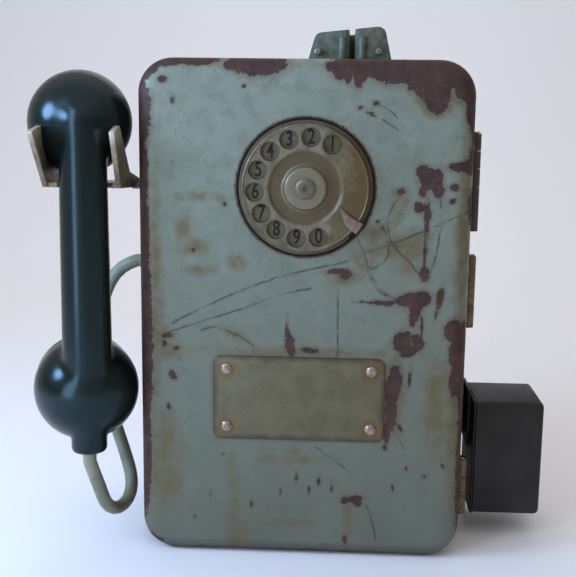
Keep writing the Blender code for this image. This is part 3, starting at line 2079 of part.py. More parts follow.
def handset_cord(material):
    """The cord from the bushing to the handset's collar, as one smooth tube."""
    diameter = 2 * cord_radius
    start = Vector(
        (
            -half_width - bushing_out - fit_gap,
            front_y + cord_exit_depth,
            cord_exit_z,
        )
    )
    end = Vector((handset_x, handset_y, collar_low_z - fit_gap))
    route = [
        Vector((-half_width - out, front_y + back, mouth_z + up))
        for out, back, up in cord_points
    ]
    straight_start = start - Vector((diameter * cord_straight_share, 0, 0))
    straight_end = end - Vector((0, 0, diameter * cord_end_share))
    points, length = curve_through(
        [straight_start] + route + [straight_end], cord_step_share * diameter
    )
    points = [start] + points + [end]
    curve = bpy.data.curves.new("handset_cord", "CURVE")
    curve.dimensions = "3D"
    curve.bevel_depth = cord_radius
    curve.bevel_resolution = 2
    curve.use_fill_caps = True
    curve.render_resolution_u = 0
    spline = curve.splines.new("POLY")
    spline.points.add(len(points) - 1)
    for point, place in zip(spline.points, points):
        point.co = (*place, 1)
    length += diameter * (cord_end_share + cord_straight_share)
    print(f"handset_cord: {length * 1000:.0f} mm long")
    return add_object("handset_cord", curve, material)


def side_box(dark, grey):
    """The small box on the right: a bracket from the case, a base and its cover."""
    case_x = half_width + fit_gap
    base_x = side_box_left_x
    bracket_right = base_x - fit_gap
    outline = [
        (case_x, bracket_front),
        (case_x + bracket_sheet, bracket_front),
        (case_x + bracket_sheet, bracket_back - bracket_sheet),
        (bracket_right - bracket_sheet, bracket_back - bracket_sheet),
        (bracket_right - bracket_sheet, bracket_front),
        (bracket_right, bracket_front),
        (bracket_right, bracket_back),
        (case_x, bracket_back),
    ]
    height = bracket_high_z - bracket_low_z
    plate(
        "box_bracket",
        [outline],
        height,
        "XY",
        (0, front_y, (bracket_low_z + bracket_high_z) / 2),
        grey,
    )
    front = front_y + side_box_front
    back = front + side_box_depth
    base = block(
        "side_box_base",
        (base_x, front, side_box_low_z),
        (base_x + side_box_sheet, back, side_box_high_z),
        dark,
    )
    soften(base, side_box_sheet / 3, 1)
    cover_left = base_x + side_box_sheet + fit_gap
    form = bmesh.new()
    bmesh.ops.create_cube(form, size=1)
    size = Vector(
        (
            side_box_right_x - cover_left,
            side_box_depth,
            side_box_high_z - side_box_low_z,
        )
    )
    bmesh.ops.scale(form, vec=size, verts=form.verts)
    form.faces.ensure_lookup_table()
    opened = min(form.faces, key=lambda f: f.calc_center_median().x)
    kept = [e for e in form.edges if e not in list(opened.edges)]
    bmesh.ops.bevel(
        form, geom=kept, offset=side_box_edge, segments=3, profile=0.5, affect="EDGES"
    )
    opened = min(form.faces, key=lambda f: f.calc_center_median().x)
    bmesh.ops.delete(form, geom=[opened], context="FACES_ONLY")
    cover = add_object("side_box_cover", mesh_from("side_box_cover", form), dark)
    cover.location = (
        (cover_left + side_box_right_x) / 2,
        (front + back) / 2,
        (side_box_low_z + side_box_high_z) / 2,
    )
    wall = cover.modifiers.new("wall", "SOLIDIFY")
    wall.thickness = side_box_sheet
    wall.offset = -1
    wall.use_even_offset = True
    smooth(cover)


def door_lock(metal):
    """The cylinder lock in the left side and the cam on its inner end, turned clear."""
    y = front_y + lock_back
    profile = [
        (0, lock_flange + fit_gap),
        (lock_face_radius, lock_flange + fit_gap),
        (lock_flange_radius, lock_flange / 2 + fit_gap),
        (lock_flange_radius, fit_gap),
        (lock_radius, fit_gap),
        (lock_radius, -lock_length),
        (0, -lock_length),
    ]
    barrel = turned(
        "lock_barrel", profile, 20, metal, (-half_width, y, lock_z), (0, -pi / 2, 0)
    )
    key_slot = block(
        "key_slot",
        (
            -half_width - lock_flange - cut_overrun,
            y - lock_key_width / 2,
            lock_z - lock_key_height / 2,
        ),
        (
            -half_width + lock_length / 2,
            y + lock_key_width / 2,
            lock_z + lock_key_height / 2,
        ),
    )
    cut(barrel, key_slot)
    cam_x = -half_width + lock_length + fit_gap
    outline = [
        (-cam_width / 2, cam_width / 2),
        (-cam_width / 2, cam_width / 2 - cam_length),
        (cam_width / 2, cam_width / 2 - cam_length),
        (cam_width / 2, cam_width / 2),
    ]
    plate(
        "lock_cam",
        [rounded(outline, cam_width / 4, 2)],
        cam_sheet,
        "YZ",
        (cam_x + cam_sheet / 2, y, lock_z),
        metal,
    )


def build():
    clear_scene()
    paint = finish("grey green enamel", "8FA39B", 0.45)
    door_paint = finish("worn grey green enamel", "93A69F", 0.45)
    steel = finish("bright steel", "A9A49A", 0.35, 0.9)
    zinc = finish("zinc plated steel", "9C9B90", 0.42, 0.8)
    brass = finish("aged brass", "A88A58", 0.38, 0.9)
    pewter = finish("aged pewter alloy", "9A9079", 0.45, 0.5)
    bakelite = finish("black green bakelite", "1E2A2A", 0.18)
    dark = finish("dark brown paint", "3B3531", 0.5)
    copper = finish("lacquered copper wire", "8A4B2A", 0.4, 0.6)
    iron = finish("lamination iron", "4A4744", 0.5, 0.7)
    rubber = finish("grey green cord", "6F7A68", 0.6)
    brown = finish("brown phenolic", "4B2E1E", 0.4)

    door_axis = axis_empty("door_axis", (hinge_x, hinge_y, 0))
    dial_axis = axis_empty("dial_axis", (dial_x, front_y, dial_z), door_axis)
    pinion_axis = axis_empty("pinion_axis", spindle_point(pinion_centre, 0), door_axis)
    governor_axis = axis_empty(
        "governor_axis", spindle_point(governor_centre, 0), door_axis
    )
    hook_axis = axis_empty("hook_axis", (pivot_x, lever_y, pivot_z))
    gate_axis = axis_empty("gate_axis", gate_pivot())
    handset_axis = axis_empty(
        "handset_axis", (handset_x, handset_y, mouth_z), turn=handset_turn
    )

    rear_case(paint)
    hinge_paints = (paint, door_paint, steel)
    upper_z = case_height - upper_hinge_drop
    middle_z = upper_z - middle_hinge_space - sum(middle_knuckles)
    hinge("upper", upper_z, upper_knuckles, False, hinge_paints, door_axis)
    hinge("middle", middle_z, middle_knuckles, True, hinge_paints, door_axis)
    hinge("lower", lower_hinge_z, lower_knuckles, False, hinge_paints, door_axis)
    coin_entry(paint, zinc)
    coin_channel(zinc)
    coin_magnet(iron, copper, steel)
    chassis_plate(zinc)
    transformer(iron, copper)
    electrics(zinc, dark, brown)
    cash_box(zinc)
    lever_shelf(zinc, steel, steel)
    hook_switch(brown)
    cord_bushing(rubber)
    handset_cord(rubber)
    side_box(dark, iron)
    door_lock(steel)

    for piece in (
        front_door(door_paint),
        nameplate(pewter),
        door_catch(zinc),
        number_plate(pewter),
        finger_stop(steel),
        dial_base(zinc),
        dial_bridge(brass),
        governor_cup(brass),
        dial_spring(steel),
        pulse_contacts(brown),
    ):
        hang(piece, door_axis)
    for piece in (finger_wheel(pewter), centre_screw(steel), dial_shaft(steel)):
        hang(piece, dial_axis)
    dial_gears(brass, steel, dial_axis, pinion_axis, governor_axis)
    hang(hook_lever(zinc), hook_axis)
    hang(coin_gate(zinc), gate_axis)
    for piece in (
        handset_shell(bakelite),
        handset_cap("ear_cap", ear_z, bakelite),
        handset_cap("mouth_cap", mouth_z, bakelite),
        handset_capsule("receiver_capsule", ear_z, zinc),
        handset_capsule("microphone_capsule", mouth_z, zinc),
    ):
        hang(piece, handset_axis)


build()
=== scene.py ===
"""Looks of the payphone: chipped enamel casing, dull cast dial, phenolic handset and its cord.

Metres, +Z up, with the front facing -Y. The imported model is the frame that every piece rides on.
"""

import json
from functools import partial
from math import acos, ceil, cos, pi, radians, sin, sqrt, tan

import bmesh
import bpy
import numpy as np
from mathutils import Matrix, Vector

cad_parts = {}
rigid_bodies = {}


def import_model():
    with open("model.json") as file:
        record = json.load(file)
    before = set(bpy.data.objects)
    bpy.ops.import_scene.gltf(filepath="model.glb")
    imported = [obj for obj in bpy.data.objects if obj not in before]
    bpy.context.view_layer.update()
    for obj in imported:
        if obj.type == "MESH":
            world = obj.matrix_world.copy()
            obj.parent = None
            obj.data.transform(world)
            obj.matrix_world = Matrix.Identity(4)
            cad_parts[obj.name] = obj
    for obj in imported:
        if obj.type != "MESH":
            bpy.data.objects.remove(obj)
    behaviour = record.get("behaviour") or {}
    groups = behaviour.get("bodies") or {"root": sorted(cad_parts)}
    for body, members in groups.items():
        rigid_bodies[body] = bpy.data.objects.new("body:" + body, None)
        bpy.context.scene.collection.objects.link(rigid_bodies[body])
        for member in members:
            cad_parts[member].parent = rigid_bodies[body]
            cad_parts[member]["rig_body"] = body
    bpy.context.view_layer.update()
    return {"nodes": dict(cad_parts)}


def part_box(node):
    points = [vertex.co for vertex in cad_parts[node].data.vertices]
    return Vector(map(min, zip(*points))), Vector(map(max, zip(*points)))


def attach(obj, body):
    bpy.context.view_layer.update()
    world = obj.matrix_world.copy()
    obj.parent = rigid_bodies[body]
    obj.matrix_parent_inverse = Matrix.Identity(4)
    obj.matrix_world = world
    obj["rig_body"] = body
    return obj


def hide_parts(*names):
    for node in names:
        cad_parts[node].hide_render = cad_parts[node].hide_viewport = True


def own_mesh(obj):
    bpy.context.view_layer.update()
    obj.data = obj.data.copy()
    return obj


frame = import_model()
nodes = frame["nodes"]
scene = bpy.context.scene

# Places and sizes that the solids share
case_width = 0.200
case_height = 0.308
case_depth = 0.096
door_depth = 0.0358
fit_gap = 0.0003
sheet = 0.0015
corner_radius = 0.021
door_edge_radius = 0.010
case_back_radius = 0.004
case_lip = 0.009
door_reveal = 0.0005
half_width = case_width / 2
case_front_y = -case_depth / 2
front_y = case_front_y - fit_gap - door_depth
lever_z = case_height - 0.0809
ear_z = lever_z + 0.0417
mouth_z = ear_z - 0.1640
ear_back, ear_radius = 0.0210, 0.0312
mouth_back, mouth_radius = 0.0170, 0.0324
bowl_rim = 0.0090
bowl_wall = 0.0032
handset_turn = radians(17.3)
handset_x = -half_width - 0.0298
handset_y = front_y - 0.0091
handle_radius = 0.0144
collar_radius = 0.0109
collar_low_z = mouth_z - 0.0358
cord_exit_z = lever_z - 0.0476
cord_radius = 0.0042
dial_centre = Vector((0.0010, front_y, case_height - 0.0757))
cutout_radius = 0.0410
hole_ring_radius = 0.0300
first_hole = radians(59.0)
hole_step = radians(25.2)
sign_centre = Vector((-0.0015, front_y - fit_gap, 0.1030))
sign_width, sign_height, sign_sheet = 0.1050, 0.0526, 0.0010
rivet_out, rivet_up = 0.0443, 0.0183
# More than any size of the object, for a side that doesn't count
far = 9.0

# Kinds of node, by their short names
kinds = {
    "noise": "ShaderNodeTexNoise",
    "span": "ShaderNodeMapRange",
    "mix": "ShaderNodeMix",
    "maths": "ShaderNodeMath",
    "vector": "ShaderNodeVectorMath",
    "bump": "ShaderNodeBump",
    "split": "ShaderNodeSeparateXYZ",
    "join": "ShaderNodeCombineXYZ",
    "stored": "ShaderNodeAttribute",
}


# Nodes and colours


def linear(colour):
    """An sRGB hex colour as the linear values that a shader takes."""
    channels = [int(colour[i : i + 2], 16) / 255 for i in (0, 2, 4)]
    return [c / 12.92 if c <= 0.04045 else ((c + 0.055) / 1.055) ** 2.4 for c in channels] + [1.0]


def add(tree, kind, inputs=(), **settings):
    """Adds a node with its settings. Inputs go by name or in order: a node gives its output.

    The first word of its kind may be a short name, and a second word is its operation.
    """
    kind, _, operation = kind.partition(" ")
    made = tree.nodes.new(kinds.get(kind, kind))
    if operation:
        made.operation = operation
    for name, value in settings.items():
        setattr(made, name, value)
    for key, value in inputs.items() if isinstance(inputs, dict) else enumerate(inputs):
        if isinstance(value, bpy.types.Node):
            value = next(socket for socket in value.outputs if socket.enabled)
        if isinstance(value, bpy.types.NodeSocket):
            tree.links.new(value, made.inputs[key])
        else:
            made.inputs[key].default_value = linear(value) if isinstance(value, str) else value
    return made


def new_material(name):
    """A material, what adds a node to it, its shader and the place on the piece, in metres."""
    material = bpy.data.materials.new(name)
    material.use_nodes = True
    put = partial(add, material.node_tree)
    place = put("ShaderNodeTexCoord").outputs["Object"]
    return material, put, material.node_tree.nodes["Principled BSDF"], place


def coat(shader, colour, roughness, bump):
    """Links a colour, a roughness and a relief to a shader."""
    for name, node in (("Base Color", colour), ("Roughness", roughness), ("Normal", bump)):
        output = next(socket for socket in node.outputs if socket.enabled)
        shader.id_data.links.new(output, shader.inputs[name])


def laid(put, colour, over, value, start=0.0, end=1.0, most=1.0):
    """A colour with another laid over it, from none where a value is at its start to most at its end."""
    share = put("span", (value, start, end, 0.0, most))
    return put("mix", {0: share, 6: colour, 7: over}, data_type="RGBA")


def flat_distance(put, place, centre):
    """How far a place is from a centre, seen from the front."""
    out = put("vector SUBTRACT", (place, tuple(centre)))
    out = put("vector MULTIPLY", (out, (1, 0, 1)))
    return put("vector LENGTH", (out,))


# Wear on the front, in millimetres across and up from the middle of its foot

# Bare primer: middle across and up, half width, half height, turn in degrees
front_chips = (
    (-66, 307, 16, 4.2), (-84, 305, 10, 3), (-28, 304.5, 17, 7.5), (-44, 303, 4, 3), (20, 302, 5, 6.5),
    (36, 307, 15, 10), (55, 304, 18, 10.5, 8), (76, 300, 20, 12, 10), (76.5, 286, 7.5, 10),
    (70, 290, 7, 5), (94, 296, 9, 13), (98, 281, 4.5, 13), (100, 266, 2.6, 9), (31, 297, 3, 6),
    (25, 297, 2.2, 4), (14, 303, 3, 3), (74, 238.5, 6.3, 6.6), (69.5, 243, 3.4, 4.2), (79, 240, 2.6, 4.6),
    (79.5, 232, 3.2, 4.6), (70, 231, 2.2, 3), (68.3, 222, 2.9, 3.4), (73.4, 214, 1.2, 13),
    (73.6, 217, 2.2, 3.4), (72.6, 192, 0.9, 8), (72.6, 182, 3.1, 4.4), (91, 246, 6.5, 2.6, 4),
    (97, 246, 4, 5), (88.5, 234, 2.6, 2.2), (88, 226, 2.4, 1.4, 30), (99.5, 250, 3, 8),
    (57.4, 231, 2.6, 2), (21, 182.7, 6.5, 1.6, 4), (26, 180.5, 4, 2.6, 15), (36, 164.3, 1.5, 0.9),
    (41, 164, 1.6, 0.8), (46, 164, 2.6, 1.5), (52, 163.7, 3.2, 1.8), (66, 166, 9.4, 4.4, 4),
    (72, 167, 5.6, 4.8), (68, 159, 3.4, 6), (66.4, 153, 1.9, 3.4), (82.6, 168, 2.1, 6.6, -8),
    (81, 159, 0.9, 5, -12), (60.5, 141, 5, 6.4, -28), (66, 135, 8, 3, 24), (70.4, 140, 3.4, 5, 20),
    (72.4, 150, 1, 6), (91, 148, 5.4, 7, -20), (94, 140, 4, 14, -12), (95, 118, 5, 13), (98, 128, 4, 22),
    (100, 100, 3.4, 30), (56.5, 113, 4.6, 12, -6), (55.4, 98, 3.4, 14), (53.4, 84, 2.2, 7),
    (66, 117, 1, 6, -6), (34, 39.4, 7, 1.9, 6), (36.5, 36.5, 2.6, 2.6), (28, 37, 2.4, 1.2),
    (-84, 294.5, 2.6, 1.9), (-78, 283, 1.4, 2.4), (-36, 291, 1.2, 1.2), (-47, 222, 1.2, 1.2),
    (-9, 145, 1, 6.5), (-7.4, 138, 3, 5.4), (-6, 133, 2.4, 3), (5, 133.4, 5.5, 1.6, -5),
    (-79, 116, 2.2, 3, 20), (-82, 141, 4, 1.6, 10), (-84, 136, 1.6, 2.4), (-77, 133, 2, 1.6),
    (29, 12, 1.4, 2.8), (52.6, 73, 1.4, 1.6), (61, 86, 1.2, 2.4, 30), (99.6, 222, 2.4, 10),
    (-100.5, 205, 7.6, 42), (-100.5, 140, 9, 82), (-100.5, 276, 9, 26), (99.4, 62, 3, 42),
    (-62, 0.5, 22, 2.4), (30, 0.5, 40, 2.6), (44, 213, 1.1, 0.8), (47, 209, 0.8, 0.6),
    (88, 62, 1.2, 1.6, 20), (58, 47, 1, 1.8), (12, 50, 0.9, 2.6), (6, 44, 0.8, 2.2), (20, 46, 0.8, 2.4),
    (-2, 52, 0.9, 3), (-12, 43, 0.8, 2), (-30, 34, 1, 2.2), (-56, 40, 0.9, 1.8), (-66, 24, 1.2, 1),
    (-48, 66, 1, 0.8), (-100.5, 240, 7.4, 26), (-97, 266, 1.6, 9), (-96, 287, 2.2, 5),
    (-95.4, 190, 2.2, 8), (-94, 148, 2, 9), (-100.5, 66, 7.6, 44), (-88, 7, 2.4, 2), (0, -1.5, 118, 5),
    (-82, 96, 1, 2.4), (39, 276, 2.2, 1, -30), (-95, 302, 7, 14, -45), (-90, 306.5, 9, 2.4),
    (-96, 7, 4.5, 6, -40), (-90, 2, 9, 2.6), (41, 282, 2, 1.6), (32, 279.5, 1.6, 1.2),
    (-66, 194, 1.8, 1.2, 30), (66, 60, 1.4, 1.2), (77, 55, 1.8, 1.4),
)
# Olive brown where water has dried: middle, half width, half height, turn
front_stains = (
    (-42, 52, 3.4, 14, 2), (-41, 30, 3, 12, -4), (-38, 13, 8, 8), (-21, 64, 6, 2.4, 4),
    (2, 64, 12, 2.8, 6), (-4, 68, 5, 3), (-9, 22, 18, 2.2, 2), (27, 179, 11, 5, 10),
    (-40, 142, 10, 3.4, -30), (48, 197, 18, 6, 20), (46, 206, 8, 6, 30), (60, 186, 9, 5), (38, 190, 7, 8),
    (0, 132, 58, 3.6), (56, 104, 7, 26), (-86, 142, 8, 7), (-80, 131, 9, 7), (62, 198, 14, 10, 30),
    (30, 30, 3, 16), (-90, 170, 5, 60), (-62, 226, 16, 2.4), (-66, 196, 9, 5), (-40, 187, 6, 5),
    (-72, 206, 5, 8), (-62, 182, 9, 3), (-20, 120, 3, 9), (-84, 60, 12, 30), (57, 224, 6, 9),
    (44, 204, 7, 8), (84, 100, 9, 30), (-52, 103, 4, 26), (76, 288, 12, 13), (96, 205, 6, 50),
    (93, 90, 5, 44), (-96, 200, 5, 70),
)
# Scratches, in two layers so that those which cross keep their own lines
front_scratches = (
    (
        ((-79, 149), (-60, 159), (-42, 167.5), (-24, 175), (-6, 181), (25, 188.5), (41, 196),
         (55, 200.5), (98, 220)),
        ((57, 229), (52, 221), (50, 213), (52, 202), (57, 195), (64, 189), (68, 183)),
        ((81, 226), (81, 208), (79.5, 195), (76, 183)),
        ((-61, 144.8), (-53, 146.8), (-38, 141.6), (-30, 136)),
        ((42, 35), (45.7, 24), (48.5, 12)),
        ((40.6, 282), (49.4, 278), (53.6, 273.8)),
        ((58, 84), (61.5, 78), (64, 73)),
        ((31, 164.4), (44, 164), (58, 164.4)),
    ),
    (
        ((-84, 142), (-62, 150), (-38, 158), (-15, 167), (5, 172)),
        ((45, 214), (49.2, 205), (51, 195), (48.5, 189), (41, 184)),
        ((31, 207), (38, 189), (42, 176), (50, 168)),
        ((38.5, 183), (46.5, 173), (56, 166)),
        ((71.7, 224), (72.4, 200), (72, 178)),
        ((36, 276.5), (41.5, 274)),
        ((45.5, 272.5), (54.4, 267)),
        ((21.4, 171), (22, 131)),
        ((10, 72), (24, 62), (31, 56)),
    ),
)


def chipped_enamel(name, front):
    """Enamel sprayed on steel sheet: soft sheen, faint orange peel, chips down to brown primer."""
    material, put, shader, place = new_material(name)
    axes = put("split", (place,)).outputs
    # Fading, haze, clouds, ragged chip edges, dirt pits and orange peel: size, detail, roughness
    grains = (
        (0.060, 4.0, 0.60), (0.026, 5.0, 0.60), (0.009, 4.0, 0.65),
        (0.0042, 5.0, 0.74), (0.0016, 2.0, 0.50), (0.0014, 2.0, 0.50),
    )
    fade, haze, cloud, torn, pits, peel = (
        put("noise", {0: place, "Scale": 1 / size, "Detail": detail, "Roughness": roughness})
        for size, detail, roughness in grains
    )
    # Lighter and bluer at the head, darker, greener and dirtier towards the foot: partly dirt, partly
    # painted light that falls off downwards
    paint = laid(put, "808A7D", "595B4C", axes["Z"], 0.29, 0.03)
    paint = laid(put, paint, "697262", fade, 0.35, 0.70, 0.55)
    paint = laid(put, paint, "666A59", haze, 0.46, 0.72, 0.42)
    paint = laid(put, paint, "565B4E", cloud, 0.45, 0.75, 0.48)
    paint = laid(put, paint, "34372F", pits, 0.69, 0.77, 0.85)
    edge_wear, bare_from, bare_to = 0.115, 0.715, 0.735
    rim = edge_closeness(put, place, axes, front)
    level = put("maths MULTIPLY_ADD", (rim, edge_wear, torn))
    chip = put("span", (level, bare_from, bare_to))
    if front:
        ragged = put("span", (torn, 0.0, 1.0, -1.4, 1.4))
        near = chip_distance(put, place, ragged)
        known = put("span", (near, 0.04, -0.04))
        chip = put("maths MAXIMUM", (chip, known))
        stain = put("stored", attribute_name="stains").outputs["Fac"]
        stain = put("maths ADD", (stain, ragged))
        stain = put("span", (stain, 1.0, -1.2, 0.0, 0.85))
        patchy = put("span", (cloud, 0.30, 0.60, 0.35, 1.0))
        stain = put("maths MULTIPLY", (stain, patchy))
        paint = laid(put, paint, "5E512C", stain)
        # A darker brown rim round each chip: dirt, and a painted shade along the step down to the primer
        paint = laid(put, paint, "594534", near, 1.3, 0.0, 0.55)
        for layer in ("scratches_a", "scratches_b"):
            paint = laid(put, paint, "38342B", scratch_line(put, place, layer))
    primer = laid(put, "472A20", "2A1913", cloud, 0.35, 0.70)
    primer = laid(put, primer, "6A4F42", pits, 0.66, 0.72, 0.6)
    colour = laid(put, paint, primer, chip)
    colour = laid(put, colour, "2C241E", axes["Z"], 0.010, 0.0005, 0.8)
    gloss = put("span", (cloud, 0.30, 0.75, 0.36, 0.50))
    gloss = put("maths MULTIPLY_ADD", (chip, 0.24, gloss))
    skin = put("bump", {"Height": peel, "Distance": 0.00006, "Strength": 0.5})
    # The step of 0.2 mm down to the primer
    film = put("maths SUBTRACT", (1.0, chip))
    coat(shader, colour, gloss, put("bump", {"Height": film, "Distance": 0.0002, "Normal": skin}))
    return material


def edge_closeness(put, place, axes, front):
    """From 0 well inside the casing's outline to 1 on its edges and corners."""
    middle = (0, 0, case_height / 2)
    inner = (half_width - corner_radius, far, case_height / 2 - corner_radius)
    outwards = put("vector ABSOLUTE", (put("vector SUBTRACT", (place, middle)),))
    beyond = put("vector SUBTRACT", (outwards, inner))
    beyond = put("vector MAXIMUM", (beyond, (0, 0, 0)))
    reach = put("vector LENGTH", (beyond,))
    if front:
        return put("span", (reach, corner_radius - 0.012, corner_radius - 0.0005))
    corner = put("span", (reach, corner_radius - 0.016, corner_radius - 0.001))
    back = case_depth / 2
    behind = put("span", (axes["Y"], back - 0.010, back - 0.001))
    ahead = put("span", (axes["Y"], case_front_y + 0.006, case_front_y + 0.0005))
    return put("maths MULTIPLY", (corner, put("maths MAXIMUM", (behind, ahead))))


def chip_distance(put, place, ragged):
    """Millimetres outside the nearest chip, of the marks on the mesh and the torn ring round the dial."""
    near = put("stored", attribute_name="chips").outputs["Fac"]
    near = put("maths ADD", (near, ragged))
    torn_to = cutout_radius * 1000 + 0.9
    out = put("maths MULTIPLY_ADD", (flat_distance(put, place, dial_centre), 1000.0, -torn_to))
    ring = put("maths MULTIPLY_ADD", (ragged, 1.2, out))
    return put("maths MINIMUM", (near, ring))


def scratch_line(put, place, layer):
    """A broken dark line along each scratch of a layer, faded out 1 mm to each side."""
    stored = put("stored", attribute_name=layer).outputs["Vector"]
    stored = put("split", (stored,)).outputs
    shake = put("noise", {0: place, "Scale": 1 / 0.005, "Detail": 3.0})
    shake = put("span", (shake, 0.0, 1.0, -0.8, 0.8))
    aside = put("maths ABSOLUTE", (put("maths ADD", (stored["X"], shake)),))
    line = put("span", (aside, 1.0, 0.1, 0.0, 0.95))
    line = put("maths MULTIPLY", (line, stored["Y"]))
    broken = put("noise", {0: place, "Scale": 1 / 0.011, "Detail": 4.0, "Roughness": 0.7})
    broken = put("span", (broken, 0.36, 0.58, 0.1, 1.0))
    return put("maths MULTIPLY", (line, broken))


def surface(name, tones, blotch, fine, spread, gloss, relief, metallic=0.0, **more):
    """Two tones in blotches, under marks and specks, with the relief of a finer grain.

    Blotches and grain have a size, a detail and a roughness, and relief a depth and a share.
    The gloss follows the grain, or the blotches where it is soft.
    """
    material, put, shader, place = new_material(name)
    blotch, fine = (
        put("noise", {0: place, "Scale": 1 / size, "Detail": detail, "Roughness": roughness})
        for size, detail, roughness in (blotch, fine)
    )
    colour = laid(put, *tones, blotch, *spread)
    if "marks" in more:
        colour = more["marks"](put, place, blotch, colour)
    if "specks" in more:
        tint, *speckled = more["specks"]
        colour = laid(put, colour, tint, fine, *speckled)
    rough = put("span", (blotch if "soft" in more else fine, 0.30, 0.70, *gloss))
    links = {"Height": fine, "Distance": relief[0], "Strength": relief[1]}
    coat(shader, colour, rough, put("bump", links))
    shader.inputs["Metallic"].default_value = metallic
    return material


def worked_metal(name, colour, worn, size, gloss, metallic=1.0):
    """Plated, turned or stamped metal, finer in gloss than in tone."""
    grains = (size, 5.0, 0.65), (size / 6, 3.0, 0.6)
    return surface(name, (colour, worn), *grains, (0.38, 0.68), gloss, (0.00002, 1.0), metallic)


def moulded(name, colour, shade, gloss, grain=0.0006, size=0.015):
    """Pressed resin, rubber or stoved enamel: near even colour under the fine grain of its skin."""
    grains = (size, 4.0, 0.6), (grain, 2.0, 0.5)
    return surface(name, (colour, shade), *grains, (0.35, 0.70), gloss, (0.00002, 0.35), soft=True)


def inside_enamel(name):
    """The same enamel kept from the light inside the casing: even, under a film of dust."""
    grains = (0.020, 5.0, 0.6), (0.0014, 2.0, 0.5)
    looks = (0.35, 0.70), (0.42, 0.58), (0.00006, 1.0)
    return surface(name, ("6F7C77", "5B6660"), *grains, *looks, soft=True)


def dial_casting(name, light, dark, warm, dish=None):
    """Tin alloy gone dull: olive grey where fingers rub, gold brown towards the finger stop."""

    def marks(put, place, blotch, colour):
        across = put("split", (place,)).outputs["X"]
        side = put("maths MULTIPLY_ADD", (blotch, 0.02, across))
        colour = laid(put, colour, warm, side, dial_centre.x + 0.018, dial_centre.x + 0.040, 0.9)
        out = flat_distance(put, place, dial_centre)
        # Painted shade round the outer edge, for the shadowed gap between the ring and the cover's
        # opening
        colour = laid(put, colour, "26231E", out, 0.0393, 0.0399, 0.9)
        if dish:
            colour = laid(put, colour, dish, out, 0.0226, 0.0212, 0.85)
            colour = laid(put, colour, light, out, 0.0150, 0.0118, 0.75)
        return colour

    more = {"marks": marks, "specks": ("3A3427", 0.64, 0.74, 0.6)}
    grains = (0.007, 5.0, 0.62), (0.0012, 3.0, 0.6)
    looks = (0.32, 0.68, 0.8), (0.30, 0.46), (0.00003, 1.0), 0.35
    return surface(name, (light, dark), *grains, *looks, **more)


def sign_metal(name):
    """Dull rolled alloy sheet: a dark brown band along its edges, of grime and painted shade, and rust
    run out round its rivets.
    """

    def marks(put, place, blotch, colour):
        local = put("vector SUBTRACT", (place, tuple(sign_centre)))
        folded = put("vector ABSOLUTE", (local,))
        border = (sign_width / 2, far, sign_height / 2)
        inwards = put("split", (put("vector SUBTRACT", (border, folded)),)).outputs
        edge = put("maths MINIMUM", (inwards["X"], inwards["Z"]))
        edge = put("maths MULTIPLY_ADD", (blotch, -0.006, edge))
        # A dark brown band along the edges: painted shade at the edge itself, and grime reaching inwards
        # in ragged patches
        colour = laid(put, colour, "453B2B", edge, 0.0005, -0.0028, 0.95)
        out = flat_distance(put, folded, (rivet_out, 0, rivet_up))
        out = put("maths MULTIPLY_ADD", (blotch, -0.008, out))
        return laid(put, colour, "70502C", out, 0.0040, 0.0002, 0.8)

    more = {"marks": marks, "specks": ("37332A", 0.62, 0.74, 0.6)}
    grains = (0.010, 5.0, 0.62), (0.0014, 3.0, 0.6)
    looks = (0.32, 0.68, 0.8), (0.36, 0.52), (0.00003, 1.0), 0.3
    return surface(name, ("6B644B", "56503A"), *grains, *looks, **more)


def fork_steel(name):
    """Bent steel strip browned by handling, rubbed bright along the tops of its prongs."""

    def marks(put, place, blotch, colour):
        up = put("maths MULTIPLY_ADD", (blotch, 0.010, put("split", (place,)).outputs["Z"]))
        return laid(put, colour, "C4BCA6", up, lever_z + 0.033, lever_z + 0.041)

    grains = (0.006, 5.0, 0.65), (0.0012, 3.0, 0.6)
    looks = (0.35, 0.65), (0.34, 0.55), (0.00004, 1.0), 0.5
    return surface(name, ("A0927A", "6C5A47"), *grains, *looks, marks=marks)


def wound_wire(name, along):
    """Lacquered copper wire in close turns, drawn 1.2 mm wide so that they show as fine rings."""
    material, put, shader, place = new_material(name)
    links = {"Vector": place, "Scale": 1 / 0.0012, "Distortion": 0.2, "Detail": 1.0}
    rings = put("ShaderNodeTexWave", links, bands_direction=along).outputs["Fac"]
    colour = laid(put, "5D2C16", "A4552E", rings)
    gloss = put("span", (rings, 0.0, 1.0, 0.45, 0.30))
    coat(shader, colour, gloss, put("bump", {"Height": rings, "Distance": 0.0001}))
    shader.inputs["Metallic"].default_value = 0.4
    return material


def cord_rubber(name):
    """Old extruded rubber: dull grey green, darker and browner where it hangs low, from dirt and painted
    shade, with a fine dusty grain.
    """

    def marks(put, place, blotch, colour):
        up = put("split", (place,)).outputs["Z"]
        # Darker and browner near the floor: dirt, and painted shade where it hangs low
        return laid(put, colour, "5F5542", up, 0.065, 0.025, 0.55)

    more = {"marks": marks, "specks": ("43463A", 0.62, 0.75, 0.5), "soft": True}
    grains = (0.014, 5.0, 0.6), (0.0008, 2.0, 0.5)
    looks = (0.35, 0.68), (0.42, 0.55), (0.00004, 1.0)
    return surface(name, ("9A9D86", "777A65"), *grains, *looks, **more)


# Shapes


def finished(thing, material, body, *replaced, slot=None):
    """Gives a piece its look and its body, and hides the solids it stands for."""
    thing.data.materials.clear()
    for one in material if isinstance(material, tuple) else (material,):
        thing.data.materials.append(one)
    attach(thing, body)
    if replaced:
        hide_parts(*replaced)
    return thing


def mesh_object(name, form, *materials):
    mesh = bpy.data.meshes.new(name)
    for one in materials:
        mesh.materials.append(one)
    form.to_mesh(mesh)
    form.free()
    thing = bpy.data.objects.new(name, mesh)
    scene.collection.objects.link(thing)
    return thing


